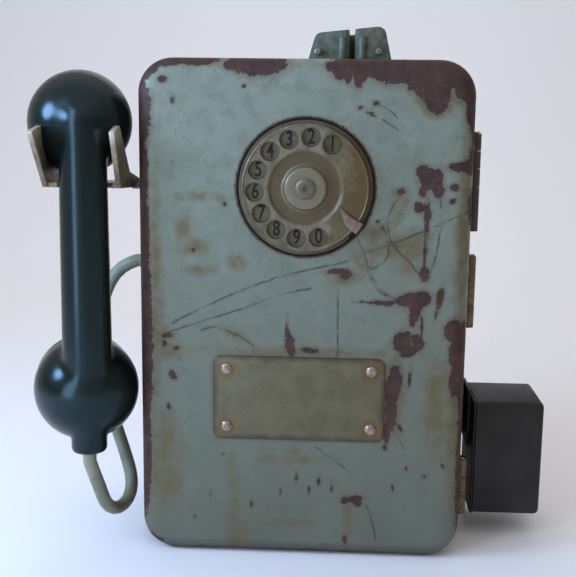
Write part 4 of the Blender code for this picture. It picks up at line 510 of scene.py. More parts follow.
def settle(thing, place=None):
    """Applies a piece's modifiers and puts its place into its mesh."""
    if place is not None:
        thing.matrix_world = place
    bpy.context.view_layer.update()
    graph = bpy.context.evaluated_depsgraph_get()
    mesh = bpy.data.meshes.new_from_object(thing.evaluated_get(graph))
    mesh.transform(thing.matrix_world)
    name = thing.name
    bpy.data.objects.remove(thing, do_unlink=True)
    mesh.name = name
    solid = bpy.data.objects.new(name, mesh)
    scene.collection.objects.link(solid)
    return solid


def smooth(thing, angle=35):
    thing.data.shade_smooth()
    thing.data.set_sharp_from_angle(angle=radians(angle))
    return thing


def lathe(name, profile, steps=96):
    """A profile of (radius, height) turned about Z, closed at the axis or into a ring."""
    form = bmesh.new()
    points = [form.verts.new((radius, 0, height)) for radius, height in profile]
    for first, second in zip(points, points[1:]):
        form.edges.new((first, second))
    if profile[0][0] or profile[-1][0]:
        form.edges.new((points[-1], points[0]))
    line = form.verts[:] + form.edges[:]
    turn = {"cent": (0, 0, 0), "axis": (0, 0, 1), "angle": 2 * pi, "steps": steps}
    bmesh.ops.spin(form, geom=line, use_merge=True, **turn)
    bmesh.ops.remove_doubles(form, verts=form.verts, dist=0.0000005)
    bmesh.ops.recalc_face_normals(form, faces=form.faces)
    return mesh_object(name, form)


def rounded_profile(profile, radius, steps=3):
    """The profile with each inner corner eased by an arc, ends kept."""
    points = [Vector(point) for point in profile]
    result = [tuple(points[0])]
    for before, here, after in zip(points, points[1:], points[2:]):
        back, ahead = (before - here), (after - here)
        reach = min(radius, back.length * 0.45, ahead.length * 0.45)
        start = here + back.normalized() * reach
        end = here + ahead.normalized() * reach
        for k in range(steps + 1):
            t = k / steps
            result.append(tuple(start * (1 - t) ** 2 + here * 2 * t * (1 - t) + end * t**2))
    result.append(tuple(points[-1]))
    return result


def bar(name, start, end, radius, sides=32):
    """A round bar between two places, to cut with."""
    start, end = Vector(start), Vector(end)
    turn = (end - start).to_track_quat("Z", "Y").to_matrix().to_4x4()
    form = bmesh.new()
    sizes = {"segments": sides, "radius1": radius, "radius2": radius, "depth": (end - start).length}
    bmesh.ops.create_cone(form, cap_ends=True, **sizes)
    thing = mesh_object(name, form)
    thing.matrix_world = Matrix.Translation((start + end) / 2) @ turn
    return thing


def brick(name, low, high):
    """A block between two corners, to cut with."""
    low, high = Vector(low), Vector(high)
    form = bmesh.new()
    bmesh.ops.create_cube(form, size=1)
    bmesh.ops.scale(form, vec=high - low, verts=form.verts)
    thing = mesh_object(name, form)
    thing.matrix_world = Matrix.Translation((low + high) / 2)
    return thing


def rounded_outline(half_wide, half_high, radius, counts):
    """Points round a rectangle with round corners, with counts of points across, up and per corner."""
    across, up, per_corner = counts
    points = []
    for k, (sx, sz) in enumerate(((1, 1), (-1, 1), (-1, -1), (1, -1))):
        cx, cz = sx * (half_wide - radius), sz * (half_high - radius)
        for i in range(per_corner):
            angle = pi / 2 * (k + i / per_corner)
            points.append((cx + radius * cos(angle), cz + radius * sin(angle)))
        level = k % 2 == 0
        count = across if level else up
        for i in range(count):
            x = cx - 2 * cx * i / count if level else sx * half_wide
            z = sz * half_high if level else cz - 2 * cz * i / count
            points.append((x, z))
    return points


def carve(thing, tools):
    """The piece with the tools cut out of it."""
    for other in tools:
        boolean = thing.modifiers.new("cut", "BOOLEAN")
        boolean.operation = "DIFFERENCE"
        boolean.object = other
        boolean.solver = "EXACT"
    solid = settle(thing)
    for other in tools:
        bpy.data.objects.remove(other, do_unlink=True)
    return solid


def ease(thing, width, segments=2, angle=30):
    bevel = thing.modifiers.new("eased edges", "BEVEL")
    bevel.width = width
    bevel.segments = segments
    bevel.limit_method = "ANGLE"
    bevel.angle_limit = radians(angle)
    bevel.use_clamp_overlap = True
    return settle(thing)


def copy_of(node):
    """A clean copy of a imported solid's mesh, to work on."""
    form = bmesh.new()
    form.from_mesh(nodes[node].data)
    bmesh.ops.remove_doubles(form, verts=form.verts, dist=0.0000005)
    bmesh.ops.dissolve_limit(form, angle_limit=radians(0.5), verts=form.verts, edges=form.edges)
    return mesh_object(node + "_dressed", form)


def dressed(node, material, edge=0.0):
    """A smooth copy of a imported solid, with its edges eased, that stands for it."""
    thing = copy_of(node)
    if edge:
        thing = ease(thing, edge)
    return finished(smooth(thing), material, nodes[node]["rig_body"], node)


# Node trees for what repeats, and for the handset


def new_tree(name, sizes):
    """A geometry tree with an input for each size, what adds a node to it, and its inputs' sockets."""
    tree = bpy.data.node_groups.new(name, "GeometryNodeTree")
    tree.interface.new_socket("Points", in_out="INPUT", socket_type="NodeSocketGeometry")
    for label, value in sizes.items():
        kind = "Vector" if isinstance(value, tuple) else type(value).__name__.title()
        socket = tree.interface.new_socket(label, in_out="INPUT", socket_type="NodeSocket" + kind)
        socket.default_value = value
    tree.interface.new_socket("Material", in_out="INPUT", socket_type="NodeSocketMaterial")
    tree.interface.new_socket("Mesh", in_out="OUTPUT", socket_type="NodeSocketGeometry")
    put = partial(add, tree)
    return tree, put, put("NodeGroupInput").outputs


def end_tree(tree, given, geometry):
    """Makes instances real, smooths them and gives them their material."""
    put = partial(add, tree)
    real = put("GeometryNodeRealizeInstances", {"Geometry": geometry})
    soft = put("GeometryNodeSetShadeSmooth", {"Geometry": real})
    links = {"Geometry": soft, "Material": given["Material"]}
    put("NodeGroupOutput", (put("GeometryNodeSetMaterial", links),))
    return tree


def grown(name, tree, sizes, material, points=()):
    """The plain mesh that a node tree makes from its sizes, on the given points."""
    form = bmesh.new()
    for point in points:
        form.verts.new(point)
    thing = mesh_object(name, form)
    growth = thing.modifiers.new(tree.name, "NODES")
    growth.node_group = tree
    values = {**sizes, "Material": material}
    for item in tree.interface.items_tree:
        if item.in_out == "INPUT" and item.name in values:
            growth[item.identifier] = values[item.name]
    return settle(thing)


def heads_tree():
    """Rivet and screw heads, one on each point: a dome, flattened and slotted where asked."""
    sizes = {"Radius": 0.003, "Height": 0.0015, "Flat": 1.0, "Slot": 0.0, "Facing": (0.0, -1.0, 0.0)}
    tree, put, given = new_tree("heads", sizes)
    ball = put("GeometryNodeMeshUVSphere", {"Segments": 32, "Rings": 20, "Radius": 1.0})
    at = put("split", (put("GeometryNodeInputPosition"),)).outputs
    level = put("maths MINIMUM", (at["Z"], given["Flat"]))
    level = put("maths DIVIDE", (level, given["Flat"]))
    shape = put("join", (at["X"], at["Y"], level))
    size = put("join", (given["Radius"], given["Radius"], given["Height"]))
    links = {"Geometry": ball, "Position": put("vector MULTIPLY", (shape, size))}
    dome = put("GeometryNodeSetPosition", links)
    across = put("maths MULTIPLY", (given["Radius"], 3.0))
    block = put("join", (across, given["Slot"], given["Height"]))
    block = put("GeometryNodeMeshCube", {"Size": block})
    lift = put("join", (0.0, 0.0, given["Height"]))
    block = put("GeometryNodeTransform", {"Geometry": block, "Translation": lift})
    slotted = put("GeometryNodeMeshBoolean", operation="DIFFERENCE", solver="EXACT")
    tree.links.new(dome.outputs[0], slotted.inputs["Mesh 1"])
    tree.links.new(block.outputs[0], slotted.inputs["Mesh 2"])
    has_slot = put("maths GREATER_THAN", (given["Slot"], 0.00001))
    links = {"Switch": has_slot, "False": dome, "True": slotted}
    head = put("GeometryNodeSwitch", links, input_type="GEOMETRY")
    aim = put("FunctionNodeAlignRotationToVector", {"Vector": given["Facing"]}, axis="Z")
    spin = put("FunctionNodeRandomValue", {"Min": 0.0, "Max": 6.283, "Seed": 7}, data_type="FLOAT")
    spin = put("FunctionNodeAxisAngleToRotation", {"Angle": spin})
    turned = put("FunctionNodeRotateRotation", (aim, spin), rotation_space="LOCAL")
    links = {"Points": given["Points"], "Instance": head, "Rotation": turned}
    return end_tree(tree, given, put("GeometryNodeInstanceOnPoints", links))


def holes_tree():
    """Round bars set out on an arc, to cut a ring of holes."""
    sizes = {"Count": 10, "Ring": 0.030, "First": 0.0, "Step": 0.6, "Radius": 0.005, "Depth": 0.01}
    tree, put, given = new_tree("holes on an arc", sizes)
    turn = put("maths MULTIPLY", (put("GeometryNodeInputIndex"), given["Step"]))
    turn = put("maths ADD", (turn, given["First"]))
    sides = [put("maths", (turn,), operation=kind) for kind in ("COSINE", "SINE")]
    sides = [put("maths MULTIPLY", (one, given["Ring"])) for one in sides]
    links = {"Count": given["Count"], "Position": put("join", (*sides, 0.0))}
    points = put("GeometryNodePoints", links)
    links = {"Vertices": 40, "Radius": given["Radius"], "Depth": given["Depth"]}
    rod = put("GeometryNodeMeshCylinder", links)
    links = {"Points": points, "Instance": rod}
    return end_tree(tree, given, put("GeometryNodeInstanceOnPoints", links))


def handset_tree(low, high, cell):
    """The handset as one moulding, from how far each place is outside its forms.

    Two bowls open to the back, a tapering handle that leans into the upper one, and a collar
    with a rounded foot, run together with soft joins.
    """
    sizes = {"Foot": mouth_z, "Head": ear_z, "Handle radius": handle_radius, "Lean": 0.0066}
    sizes.update({"Collar radius": collar_radius, "Join": 0.005})
    tree, put, given = new_tree("handset moulding", sizes)
    place = put("GeometryNodeInputPosition")
    at = put("split", (place,)).outputs

    def upright(back, radius, top, foot):
        """A round upright bar with soft ends."""
        out = put("vector LENGTH", (put("join", (at["X"], back, 0.0)),))
        out = put("maths SUBTRACT", (out, radius))
        above = put("maths SUBTRACT", (at["Z"], top))
        below = put("maths SUBTRACT", (foot, at["Z"]))
        return put("maths SMOOTH_MAX", (out, put("maths MAXIMUM", (above, below)), 0.004))

    forms = []
    for level, back, radius in (("Head", ear_back, ear_radius), ("Foot", mouth_back, mouth_radius)):
        middle = put("join", (0.0, back, given[level]))
        out = put("vector LENGTH", (put("vector SUBTRACT", (place, middle)),))
        out = put("maths SUBTRACT", (out, radius))
        mouth = put("maths SUBTRACT", (at["Y"], back + bowl_rim + 2 * cell))
        forms.append(put("maths MAXIMUM", (out, mouth)))
    # The handle: a share thicker at its foot, and thinner again where it leans into the bowl
    top = put("maths ADD", (given["Head"], 0.016))
    lean = put("span", (at["Z"], given["Head"], top))
    square = put("maths POWER", (lean, 2.0))
    back = put("maths SUBTRACT", (at["Y"], put("maths MULTIPLY", (square, given["Lean"]))))
    width = put("span", (at["Z"], given["Foot"], given["Head"], 1.055, 0.965))
    width = put("maths MULTIPLY_ADD", (square, -0.21, width))
    width = put("maths MULTIPLY", (width, given["Handle radius"]))
    forms.append(upright(back, width, top, given["Foot"]))
    forms.append(upright(at["Y"], given["Collar radius"], given["Foot"], collar_low_z))
    whole = forms[0]
    for form, join in zip(forms[1:], (given["Join"], given["Join"], 0.0025)):
        whole = put("maths SMOOTH_MIN", (whole, form, join))
    density = put("span", (whole, -2 * cell, 2 * cell, 1.0, 0.0))
    counts = [ceil((b - a) / cell) + 1 for a, b in zip(low, high)]
    links = {"Density": density, "Min": low, "Max": high}
    links.update(zip(("Resolution X", "Resolution Y", "Resolution Z"), counts))
    cloud = put("GeometryNodeVolumeCube", links)
    skin = put("GeometryNodeVolumeToMesh", {"Volume": cloud, "Threshold": 0.5})
    even = put("GeometryNodeBlurAttribute", {"Value": place, "Iterations": 3}, data_type="FLOAT_VECTOR")
    skin = put("GeometryNodeSetPosition", {"Geometry": skin, "Position": even})
    return end_tree(tree, given, skin)


# Materials

enamel_front = chipped_enamel("sprayed enamel, chipped to its primer", True)
enamel_case = chipped_enamel("sprayed enamel, worn at the edges", False)
enamel_inside = inside_enamel("sprayed enamel, inside")
zinc = worked_metal("zinc plated sheet steel", "9C9A8F", "838074", 0.008, (0.35, 0.55))
steel = worked_metal("turned steel", "8F887E", "5F584F", 0.003, (0.28, 0.45))
brass = worked_metal("stamped brass, aged", "A98E5B", "7A6238", 0.005, (0.30, 0.48))
iron = worked_metal("blackened iron sheet", "3B3835", "272421", 0.003, (0.45, 0.60), 0.6)
rivet_alloy = worked_metal("drawn aluminium rivet", "A8998A", "7C6B58", 0.002, (0.26, 0.40), 0.7)
rusty_hinge = worked_metal("hinge steel, rusted", "4E4038", "372C26", 0.003, (0.55, 0.70), 0.1)
bare_hinge = worked_metal("hinge steel, bare", "7A684D", "54452F", 0.003, (0.40, 0.55), 0.5)
stop_steel = worked_metal("finger stop, rubbed steel", "8E766B", "6E574C", 0.003, (0.35, 0.50), 0.5)
wheel_alloy = dial_casting("cast dial alloy, dull", "807A64", "524D3C", "55431F", "574833")
plate_alloy = dial_casting("number ring, stained", "6B6350", "4C4636", "544629")
boss_alloy = dial_casting("dial centre, rubbed", "756F5B", "544E3B", "665A3E")
bare_sign = sign_metal("rolled alloy sign, bare")
fork_metal = fork_steel("bent steel, browned and rubbed")
bakelite = moulded("pressed phenolic, polished", "0E1715", "090E0D", (0.17, 0.27), 0.0008)
bakelite.node_tree.nodes["Principled BSDF"].inputs["Specular Tint"].default_value = linear("C4E8F2")
brown_phenolic = moulded("brown phenolic board", "4B2E1E", "36200F", (0.40, 0.50))
black_cover = moulded("black moulded cover", "232322", "181817", (0.40, 0.55))
dark_enamel = moulded("dark stove enamel, matt", "1F1811", "140F0A", (0.52, 0.68), 0.0012, 0.02)
entry_enamel = moulded("olive enamel on the coin entry", "656E5E", "3A4036", (0.34, 0.52), 0.0012, 0.006)
sheath = cord_rubber("rubber cord sheath")
coil_wire = wound_wire("lacquered copper winding", "X")
coil_wire_upright = wound_wire("lacquered copper winding, upright", "Z")
number_ink = moulded("black number enamel", "0E0E0C", "090908", (0.70, 0.80))


# Camera, light and floor


def camera():
    """Where the photograph was taken from: a little above, just right of the middle."""
    data = bpy.data.cameras.new("camera")
    data.sensor_fit, data.sensor_width, data.lens = "HORIZONTAL", 36.0, 62.5
    place = Matrix.Translation((0.0212, front_y - 0.593, 0.2774))
    # Degrees to the left, up from straight down, and anticlockwise
    for angle, axis in ((2.89, "Z"), (79.9, "X"), (0.70, "Z")):
        place @= Matrix.Rotation(radians(angle), 4, axis)
    thing = bpy.data.objects.new("camera", data)
    thing.matrix_world = place
    scene.collection.objects.link(thing)
    scene.camera = thing


def soft_lamp(name, place, aim, size, power, colour, mirrored=True):
    """A lamp as wide and as high as its size, round if they are the same, and mirrored or not."""
    data = bpy.data.lights.new(name, "AREA")
    data.shape = "DISK" if size[0] == size[1] else "RECTANGLE"
    data.size, data.size_y = size
    data.energy = power
    data.color = linear(colour)[:3]
    thing = bpy.data.objects.new(name, data)
    place, aim = Vector(place), Vector(aim)
    turn = (place - aim).to_track_quat("Z", "Y").to_matrix().to_4x4()
    thing.matrix_world = Matrix.Translation(place) @ turn
    thing.visible_camera = False
    thing.visible_glossy = mirrored
    scene.collection.objects.link(thing)


def studio():
    """A soft dome, three lamps at the left, a fill in front and a lamp on the backdrop."""
    scene.view_settings.view_transform = "Standard"
    world = bpy.data.worlds.new("studio")
    world.use_nodes = True
    scene.world = world
    # Its strength at the horizon and overhead, and where the camera sees it past the floor
    dome_low, dome_high, dome_seen = 0.19, 0.81, 0.45
    put = partial(add, world.node_tree)
    way = put("ShaderNodeTexCoord").outputs["Generated"]
    dome = put("span", (put("split", (way,)).outputs["Z"], 0.0, 1.0, dome_low, dome_high))
    seen = put("ShaderNodeLightPath").outputs["Is Camera Ray"]
    dome = put("mix", {0: seen, 2: dome, 3: dome_seen}, data_type="FLOAT")
    sky = world.node_tree.nodes["Background"]
    sky.inputs["Color"].default_value = linear("F2F1F3")
    world.node_tree.links.new(dome.outputs[0], sky.inputs["Strength"])
    handset_middle = (-0.13, -0.09, 0.20)
    soft_lamp("tall lamp", (-0.275, -0.70, 0.40), handset_middle, (0.46, 0.78), 0.3, "FFF0E0")
    soft_lamp("blue lamp", (-0.47, -0.66, 0.42), handset_middle, (0.23, 0.90), 3.9, "B4D4FA")
    soft_lamp("round lamp", (-0.598, -0.338, 0.45), (-0.15, -0.10, 0.25), (0.26, 0.26), 3.9, "A9CBFF")
    soft_lamp("front fill", (0.3, -2.6, 2.0), (0, 0, 0.15), (4.8, 4.8), 4, "FFF8EE")
    soft_lamp("backdrop lamp", (0, 0.55, 1.35), (0, 1.2, 0.35), (0.9, 0.9), 4.2, "FFFFFF", False)


def pale_floor():
    """A pale paper floor that curves up into the backdrop."""
    form = bmesh.new()
    ahead, depth, rise, bend, wide, steps = -9.0, 1.2, 2.2, 0.5, 9.0, 12
    line = [(ahead, 0.0), (depth - bend, 0.0)]
    for i in range(1, steps + 1):
        angle = pi / 2 * i / steps
        line.append((depth - bend + bend * sin(angle), bend - bend * cos(angle)))
    line.append((depth, rise))
    left, right = ([form.verts.new((side * wide, y, z)) for y, z in line] for side in (-1, 1))
    for i in range(len(line) - 1):
        form.faces.new((left[i], right[i], right[i + 1], left[i + 1]))
    floor = mesh_object("floor", form)
    paper, _, shader, _ = new_material("matt pale paper")
    shader.inputs["Base Color"].default_value = linear("F0EEEE")
    shader.inputs["Roughness"].default_value = 0.9
    floor.data.materials.append(paper)
    smooth(floor, 60)


# Cord

# The same points as the solid: out from the left side, back from the front, up from the mouthpiece
cord_points = (
    (0.0152, 0.05, 0.074), (0.0194, 0.0501, 0.0721), (0.0231, 0.0502, 0.0691), (0.0262, 0.0503, 0.0651),
    (0.029, 0.0505, 0.0604), (0.0318, 0.0508, 0.0544), (0.034, 0.0512, 0.0472), (0.0354, 0.0516, 0.0372),
    (0.0359, 0.0519, 0.0242), (0.0358, 0.052, 0.0092), (0.0346, 0.0516, -0.0068),
    (0.0317, 0.0507, -0.0213), (0.0277, 0.0494, -0.0338), (0.0232, 0.0472, -0.0463),
    (0.019, 0.0442, -0.0568), (0.0153, 0.0408, -0.0658), (0.0125, 0.0364, -0.0727),
    (0.0126, 0.033, -0.0783), (0.0138, 0.028, -0.0824), (0.0163, 0.0214, -0.0845),
    (0.0197, 0.0139, -0.0837), (0.0226, 0.0073, -0.0797), (0.0246, 0.0029, -0.0733),
    (0.0257, -0.0015, -0.0618), (0.0279, -0.0062, -0.0528),
)
bushing_out = 0.0060


def curve_through(points, step):
    """Evenly spaced points on a smooth curve through the given ones."""
    fine = []
    last = len(points) - 1
    for i in range(last):
        before, start = points[max(i - 1, 0)], points[i]
        end, after = points[i + 1], points[min(i + 2, last)]
        for k in range(24):
            t = k / 24
            eased = 3 * t**2 - 2 * t**3
            leaving, coming = (t**3 - 2 * t**2 + t) / 2, (t**3 - t**2) / 2
            at = start * (1 - eased) + end * eased
            fine.append(at + (end - before) * leaving + (after - start) * coming)
    fine.append(points[last])
    length = sum((b - a).length for a, b in zip(fine, fine[1:]))
    count = ceil(length / step)
    spaced, run, target = [fine[0]], 0.0, length / count
    for a, b in zip(fine, fine[1:]):
        piece = (b - a).length
        while run + piece >= target * len(spaced) and len(spaced) < count:
            spaced.append(a.lerp(b, (target * len(spaced) - run) / piece))
        run += piece
    spaced.append(fine[-1])
    return spaced


def handset_cord():
    """The cord from its bushing at the left side to the collar at the handset's foot."""
    step, inside = 0.006, 0.001
    lead_out, lead_in = cord_radius, 1.6 * cord_radius
    exit_point = Vector((-half_width - bushing_out - fit_gap, front_y + 0.050, cord_exit_z))
    collar = Vector((handset_x, handset_y, collar_low_z - fit_gap))
    start = Vector((-half_width, front_y, mouth_z))
    route = [start + Vector((-out, back, up)) for out, back, up in cord_points]
    route = [exit_point - Vector((lead_out, 0, 0))] + route + [collar - Vector((0, 0, lead_in))]
    points = curve_through(route, step)
    for _ in range(3):
        eased = [(a + b * 2 + c) / 4 for a, b, c in zip(points, points[1:], points[2:])]
        points = [points[0]] + eased + [points[-1]]
    points = [exit_point + Vector((inside, 0, 0))] + points + [collar + Vector((0, 0, inside))]
    curve = bpy.data.curves.new("handset_cord_sheath", "CURVE")
    curve.dimensions = "3D"
    curve.bevel_depth = cord_radius
    curve.bevel_resolution = 6
    curve.use_fill_caps = True
    spline = curve.splines.new("POLY")
    spline.points.add(len(points) - 1)
    for point, place in zip(spline.points, points):
        point.co = (*place, 1)
    spline.use_smooth = True
    cord = bpy.data.objects.new("handset_cord_sheath", curve)
    scene.collection.objects.link(cord)
    finished(cord, sheath, "casing", "handset_cord")


# Casing


def distance_out(places, rows):
    """How far each place lies outside the nearest oval mark, and below 0 where it is inside.

    Paint comes back on the cover's sides, 9 mm behind its front.
    """
    reach, painted_from, painted_within = 3.0, 9, 6
    nearest = np.full(len(places), reach)
    for across, up, half_across, half_up, *turn in rows:
        angle = radians(turn[0]) if turn else 0.0
        x, z = places[:, 0] - across, places[:, 2] - up
        along = (x * cos(angle) + z * sin(angle)) / half_across
        beside = (z * cos(angle) - x * sin(angle)) / half_up
        value = (np.hypot(along, beside) - 1) * sqrt(min(half_across, half_up))
        nearest = np.minimum(nearest, value)
    behind = places[:, 1] - 1000 * front_y - painted_from
    return (nearest + np.clip(behind, 0, painted_within)).astype(np.float32)


def beside_lines(places, lines):
    """For each place: millimetres to the left of the nearest scratch, and 1 unless past its end."""
    reach, step, run_out = 4.0, 3.0, 1.5
    result = np.zeros((len(places), 3), np.float32)
    nearest = np.full(len(places), reach)
    flat = places[:, [0, 2]]
    for line in lines:
        points = curve_through([Vector(point) for point in line], step)
        last = len(points) - 2
        for i, (start, end) in enumerate(zip(points, points[1:])):
            length = (end - start).length
            ahead = np.array((end - start) / length)
            offset = flat - np.array(start)
            along, aside = offset @ ahead, offset @ np.array((-ahead[1], ahead[0]))
            past = np.maximum(0, np.maximum(-along, along - length))
            beyond = np.full(len(places), -1.0)
            if i == 0:
                beyond = np.maximum(beyond, -along)
            if i == last:
                beyond = np.maximum(beyond, along - length)
            away = np.hypot(aside, past)
            closer = away < nearest
            nearest[closer] = away[closer]
            result[closer, 0] = aside[closer]
            result[closer, 1] = np.clip(run_out - beyond[closer], 0, 1)
    return result


def ringed_cover():
    """The front cover as nested rings, fine enough on the outside to carry its wear."""
    counts = (92, 156, 14)
    edge, wall = door_edge_radius, sheet

    def round_edge(inset, steps):
        """From the open side of a skin of the sheet, over its edge, to its face."""
        radius = edge - inset
        angles = [pi / 2 * i / steps for i in range(steps + 1)]
        return [(inset, door_depth)] + [(edge - radius * cos(a), edge - radius * sin(a)) for a in angles]

    flat_steps = 56
    outer = round_edge(0.0, 10)
    outer += [(edge + (half_width - edge) * (i + 1) / flat_steps, 0.0) for i in range(flat_steps)]
    inner = round_edge(wall, 5) + [(half_width * 0.6, wall), (half_width, wall)]
    form = bmesh.new()
    centre = case_height / 2
    loops = []
    for lines in (outer, inner):
        rings = []
        for inset, back in lines:
            sides = half_width - inset, centre - door_reveal - inset
            ring = rounded_outline(*sides, max(corner_radius - inset, 0.0), counts)
            rings.append([form.verts.new((x, front_y + back, centre + z)) for x, z in ring])
        for low, high in zip(rings, rings[1:]):
            for i in range(len(low)):
                k = (i + 1) % len(low)
                form.faces.new((low[i], low[k], high[k], high[i]))
        loops.append(rings[0])
    for i in range(len(loops[0])):
        k = (i + 1) % len(loops[0])
        form.faces.new((loops[0][i], loops[0][k], loops[1][k], loops[1][i]))
    bmesh.ops.remove_doubles(form, verts=form.verts, dist=0.00002)
    bmesh.ops.recalc_face_normals(form, faces=form.faces)
    for face in form.faces:
        middle = face.calc_center_median()
        inwards = Vector((0, case_front_y, centre)) - middle
        face.material_index = 1 if face.normal.dot(inwards) > 0 else 0
    return mesh_object("door_shell", form, enamel_front, enamel_inside)


def keyhole_tools():
    """Four round holes in the back, each with a narrower neck upwards."""
    out, head, neck, rise, reach = 0.055, 0.0062, 0.0035, 0.011, 0.006
    ahead, behind = case_depth / 2 - reach, case_depth / 2 + reach
    tools = []
    for x in (-out, out):
        for low in (0.080, case_height - 0.046):
            tools.append(bar("head", (x, ahead, low), (x, behind, low), head, 40))
            tools.append(bar("shank", (x, ahead, low + rise), (x, behind, low + rise), neck))
            tools.append(brick("neck", (x - neck, ahead, low), (x + neck, behind, low + rise)))
    return tools


def rear_case():
    """The deep pan with its keyholes, lever slot, coin slot, and the holes for cord and lock."""
    form = bmesh.new()
    bmesh.ops.create_cube(form, size=1)
    bmesh.ops.scale(form, vec=(case_width, case_depth, case_height), verts=form.verts)
    bevel = partial(bmesh.ops.bevel, form, profile=0.5, affect="EDGES")
    deep = [e for e in form.edges if abs((e.verts[0].co - e.verts[1].co).y) > case_depth / 2]
    bevel(geom=deep, offset=corner_radius, segments=14)
    back = max(form.faces, key=lambda face: face.calc_center_median().y)
    bevel(geom=list(back.edges), offset=case_back_radius, segments=5)
    front = min(form.faces, key=lambda face: face.calc_center_median().y)
    bmesh.ops.inset_individual(form, faces=[front], thickness=case_lip)
    bmesh.ops.delete(form, geom=[front], context="FACES_ONLY")
    case = mesh_object("case_shell", form, enamel_case, enamel_inside)
    wall = case.modifiers.new("sheet", "SOLIDIFY")
    wall.thickness = sheet
    wall.offset = -1
    wall.use_even_offset = True
    wall.material_offset = wall.material_offset_rim = 1
    case.location = (0, 0, case_height / 2)
    past = 0.004
    out, inside = -half_width - past, -half_width + sheet + past
    # The lever's slot is open upwards for its swing of 6 degrees
    lever_y, lever_wide, lever_reach = front_y + 0.0395, 0.0210, 0.040
    slot_foot, slot_head = lever_z - 0.0009, lever_z + 0.0046 + lever_reach * tan(radians(6))
    lever_low = (out, lever_y - fit_gap, slot_foot)
    lever_high = (inside, lever_y + lever_wide + fit_gap, slot_head)
    coin_x, coin_y, coin_half, coin_long = 0.0271, front_y + 0.0528, 0.0015, 0.023
    coin_low = (coin_x - coin_half, coin_y, case_height - 2 * past)
    coin_high = (coin_x + coin_half, coin_y + coin_long, case_height + past)
    tools = keyhole_tools()
    tools.append(brick("lever_slot", lever_low, lever_high))
    tools.append(brick("coin_slot", coin_low, coin_high))
    holes = (("cord", 0.050, cord_exit_z, 0.0055), ("lock", 0.056, 0.105, 0.0088))
    for name, back, level, radius in holes:
        start, end = ((x, front_y + back, level) for x in (out, inside))
        tools.append(bar(name + "_hole", start, end, radius))
    case = smooth(carve(case, tools), 40)
    finished(case, (enamel_case, enamel_inside), "casing", "rear_case")


def front_cover():
    """The front with its round opening, and with its wear stored on its mesh."""
    reach = Vector((0, 0.006, 0))
    opening = bar("opening", dial_centre - reach, dial_centre + reach, cutout_radius, 128)
    door = smooth(carve(ringed_cover(), [opening]), 40)
    places = np.empty(len(door.data.vertices) * 3)
    door.data.vertices.foreach_get("co", places)
    places = places.reshape(-1, 3) * 1000
    for name, rows in (("chips", front_chips), ("stains", front_stains)):
        values = door.data.attributes.new(name, "FLOAT", "POINT")
        values.data.foreach_set("value", distance_out(places, rows))
    for name, lines in zip(("scratches_a", "scratches_b"), front_scratches):
        values = door.data.attributes.new(name, "FLOAT_VECTOR", "POINT")
        values.data.foreach_set("vector", beside_lines(places, lines).ravel())
    finished(door, (enamel_front, enamel_inside), "door", "front_door")


# Dial


def front_frame():
    """Local X right, Y up and Z towards the viewer, at the middle of the dial."""
    return Matrix.Translation(dial_centre) @ Matrix.Rotation(pi / 2, 4, "X")


def finger_wheel():
    """The wheel with its raised rim, dished middle and ten eased holes, and its centre screw."""
    bore, boss, dish, outer = 0.0033, 0.0126, 0.0222, 0.0378
    low, floor, plate, top = 0.0018, 0.0029, 0.0040, 0.0064
    profile = [
        (bore, top), (boss - 0.0010, top), (boss, top - 0.0010), (boss + 0.0006, 0.0036),
        (boss + 0.0018, floor), (dish - 0.0016, floor), (dish, 0.0041), (outer - 0.0014, plate),
        (outer - 0.0008, 0.0047), (outer, plate), (outer, low), (bore, low),
    ]
    wheel = lathe("finger_wheel_casting", rounded_profile(profile, 0.0006), 144)
    wheel = settle(wheel, front_frame())
    sizes = {"Count": 10, "Ring": hole_ring_radius, "First": first_hole, "Step": hole_step}
    sizes.update({"Radius": 0.0058, "Depth": 0.020})
    holes = settle(grown("finger_holes", arc_of_holes, sizes, wheel_alloy), front_frame())
    wheel = ease(carve(wheel, [holes]), 0.0005, 3, 50)
    finished(smooth(wheel, 30), wheel_alloy, "dial", "finger_wheel")

    wide, foot, head = 0.0060, 0.0067, 0.0084
    profile = [(0, head), (0.0042, head), (wide, 0.0076), (wide, foot), (0, foot)]
    screw = lathe("centre_screw_head", rounded_profile(profile, 0.0005), 64)
    screw = settle(screw, front_frame())
    start, end = (dial_centre - Vector((0, out, 0)) for out in (0.012, 0.0072))
    screw = carve(screw, [bar("screw_hole", start, end, 0.0016)])
    finished(smooth(screw), boss_alloy, "dial", "centre_screw")


def numbers():
    """Ten plain figures on the number ring, one behind each finger hole."""
    lift, narrow = 0.00112, 0.74
    form = bmesh.new()
    for i in range(10):
        angle = first_hole + hole_step * i
        text = bpy.data.curves.new("figure", "FONT")
        text.body = str((i + 1) % 10)
        text.size = 0.0122
        text.align_x = text.align_y = "CENTER"
        text.extrude = 0.00006
        text.offset = 0.0002
        thing = bpy.data.objects.new("figure", text)
        scene.collection.objects.link(thing)
        across, up = hole_ring_radius * cos(angle), hole_ring_radius * sin(angle)
        place = front_frame() @ Matrix.Translation((across, up, lift))
        thing.matrix_world = place @ Matrix.Diagonal((narrow, 1.0, 1.0, 1.0))
        figure = settle(thing)
        form.from_mesh(figure.data)
        bpy.data.objects.remove(figure, do_unlink=True)
    bmesh.ops.remove_doubles(form, verts=form.verts, dist=0.000002)
    bmesh.ops.recalc_face_normals(form, faces=form.faces)
    finished(mesh_object("dial_numbers", form), number_ink, "door", slot="black_plastic")


# Handset


def handset_frame():
    """Local X across, Y from the handle towards the caps, Z up, at the handle's middle line."""
    place = Matrix.Translation((handset_x, handset_y, 0))
    return place @ Matrix.Rotation(handset_turn, 4, "Z")


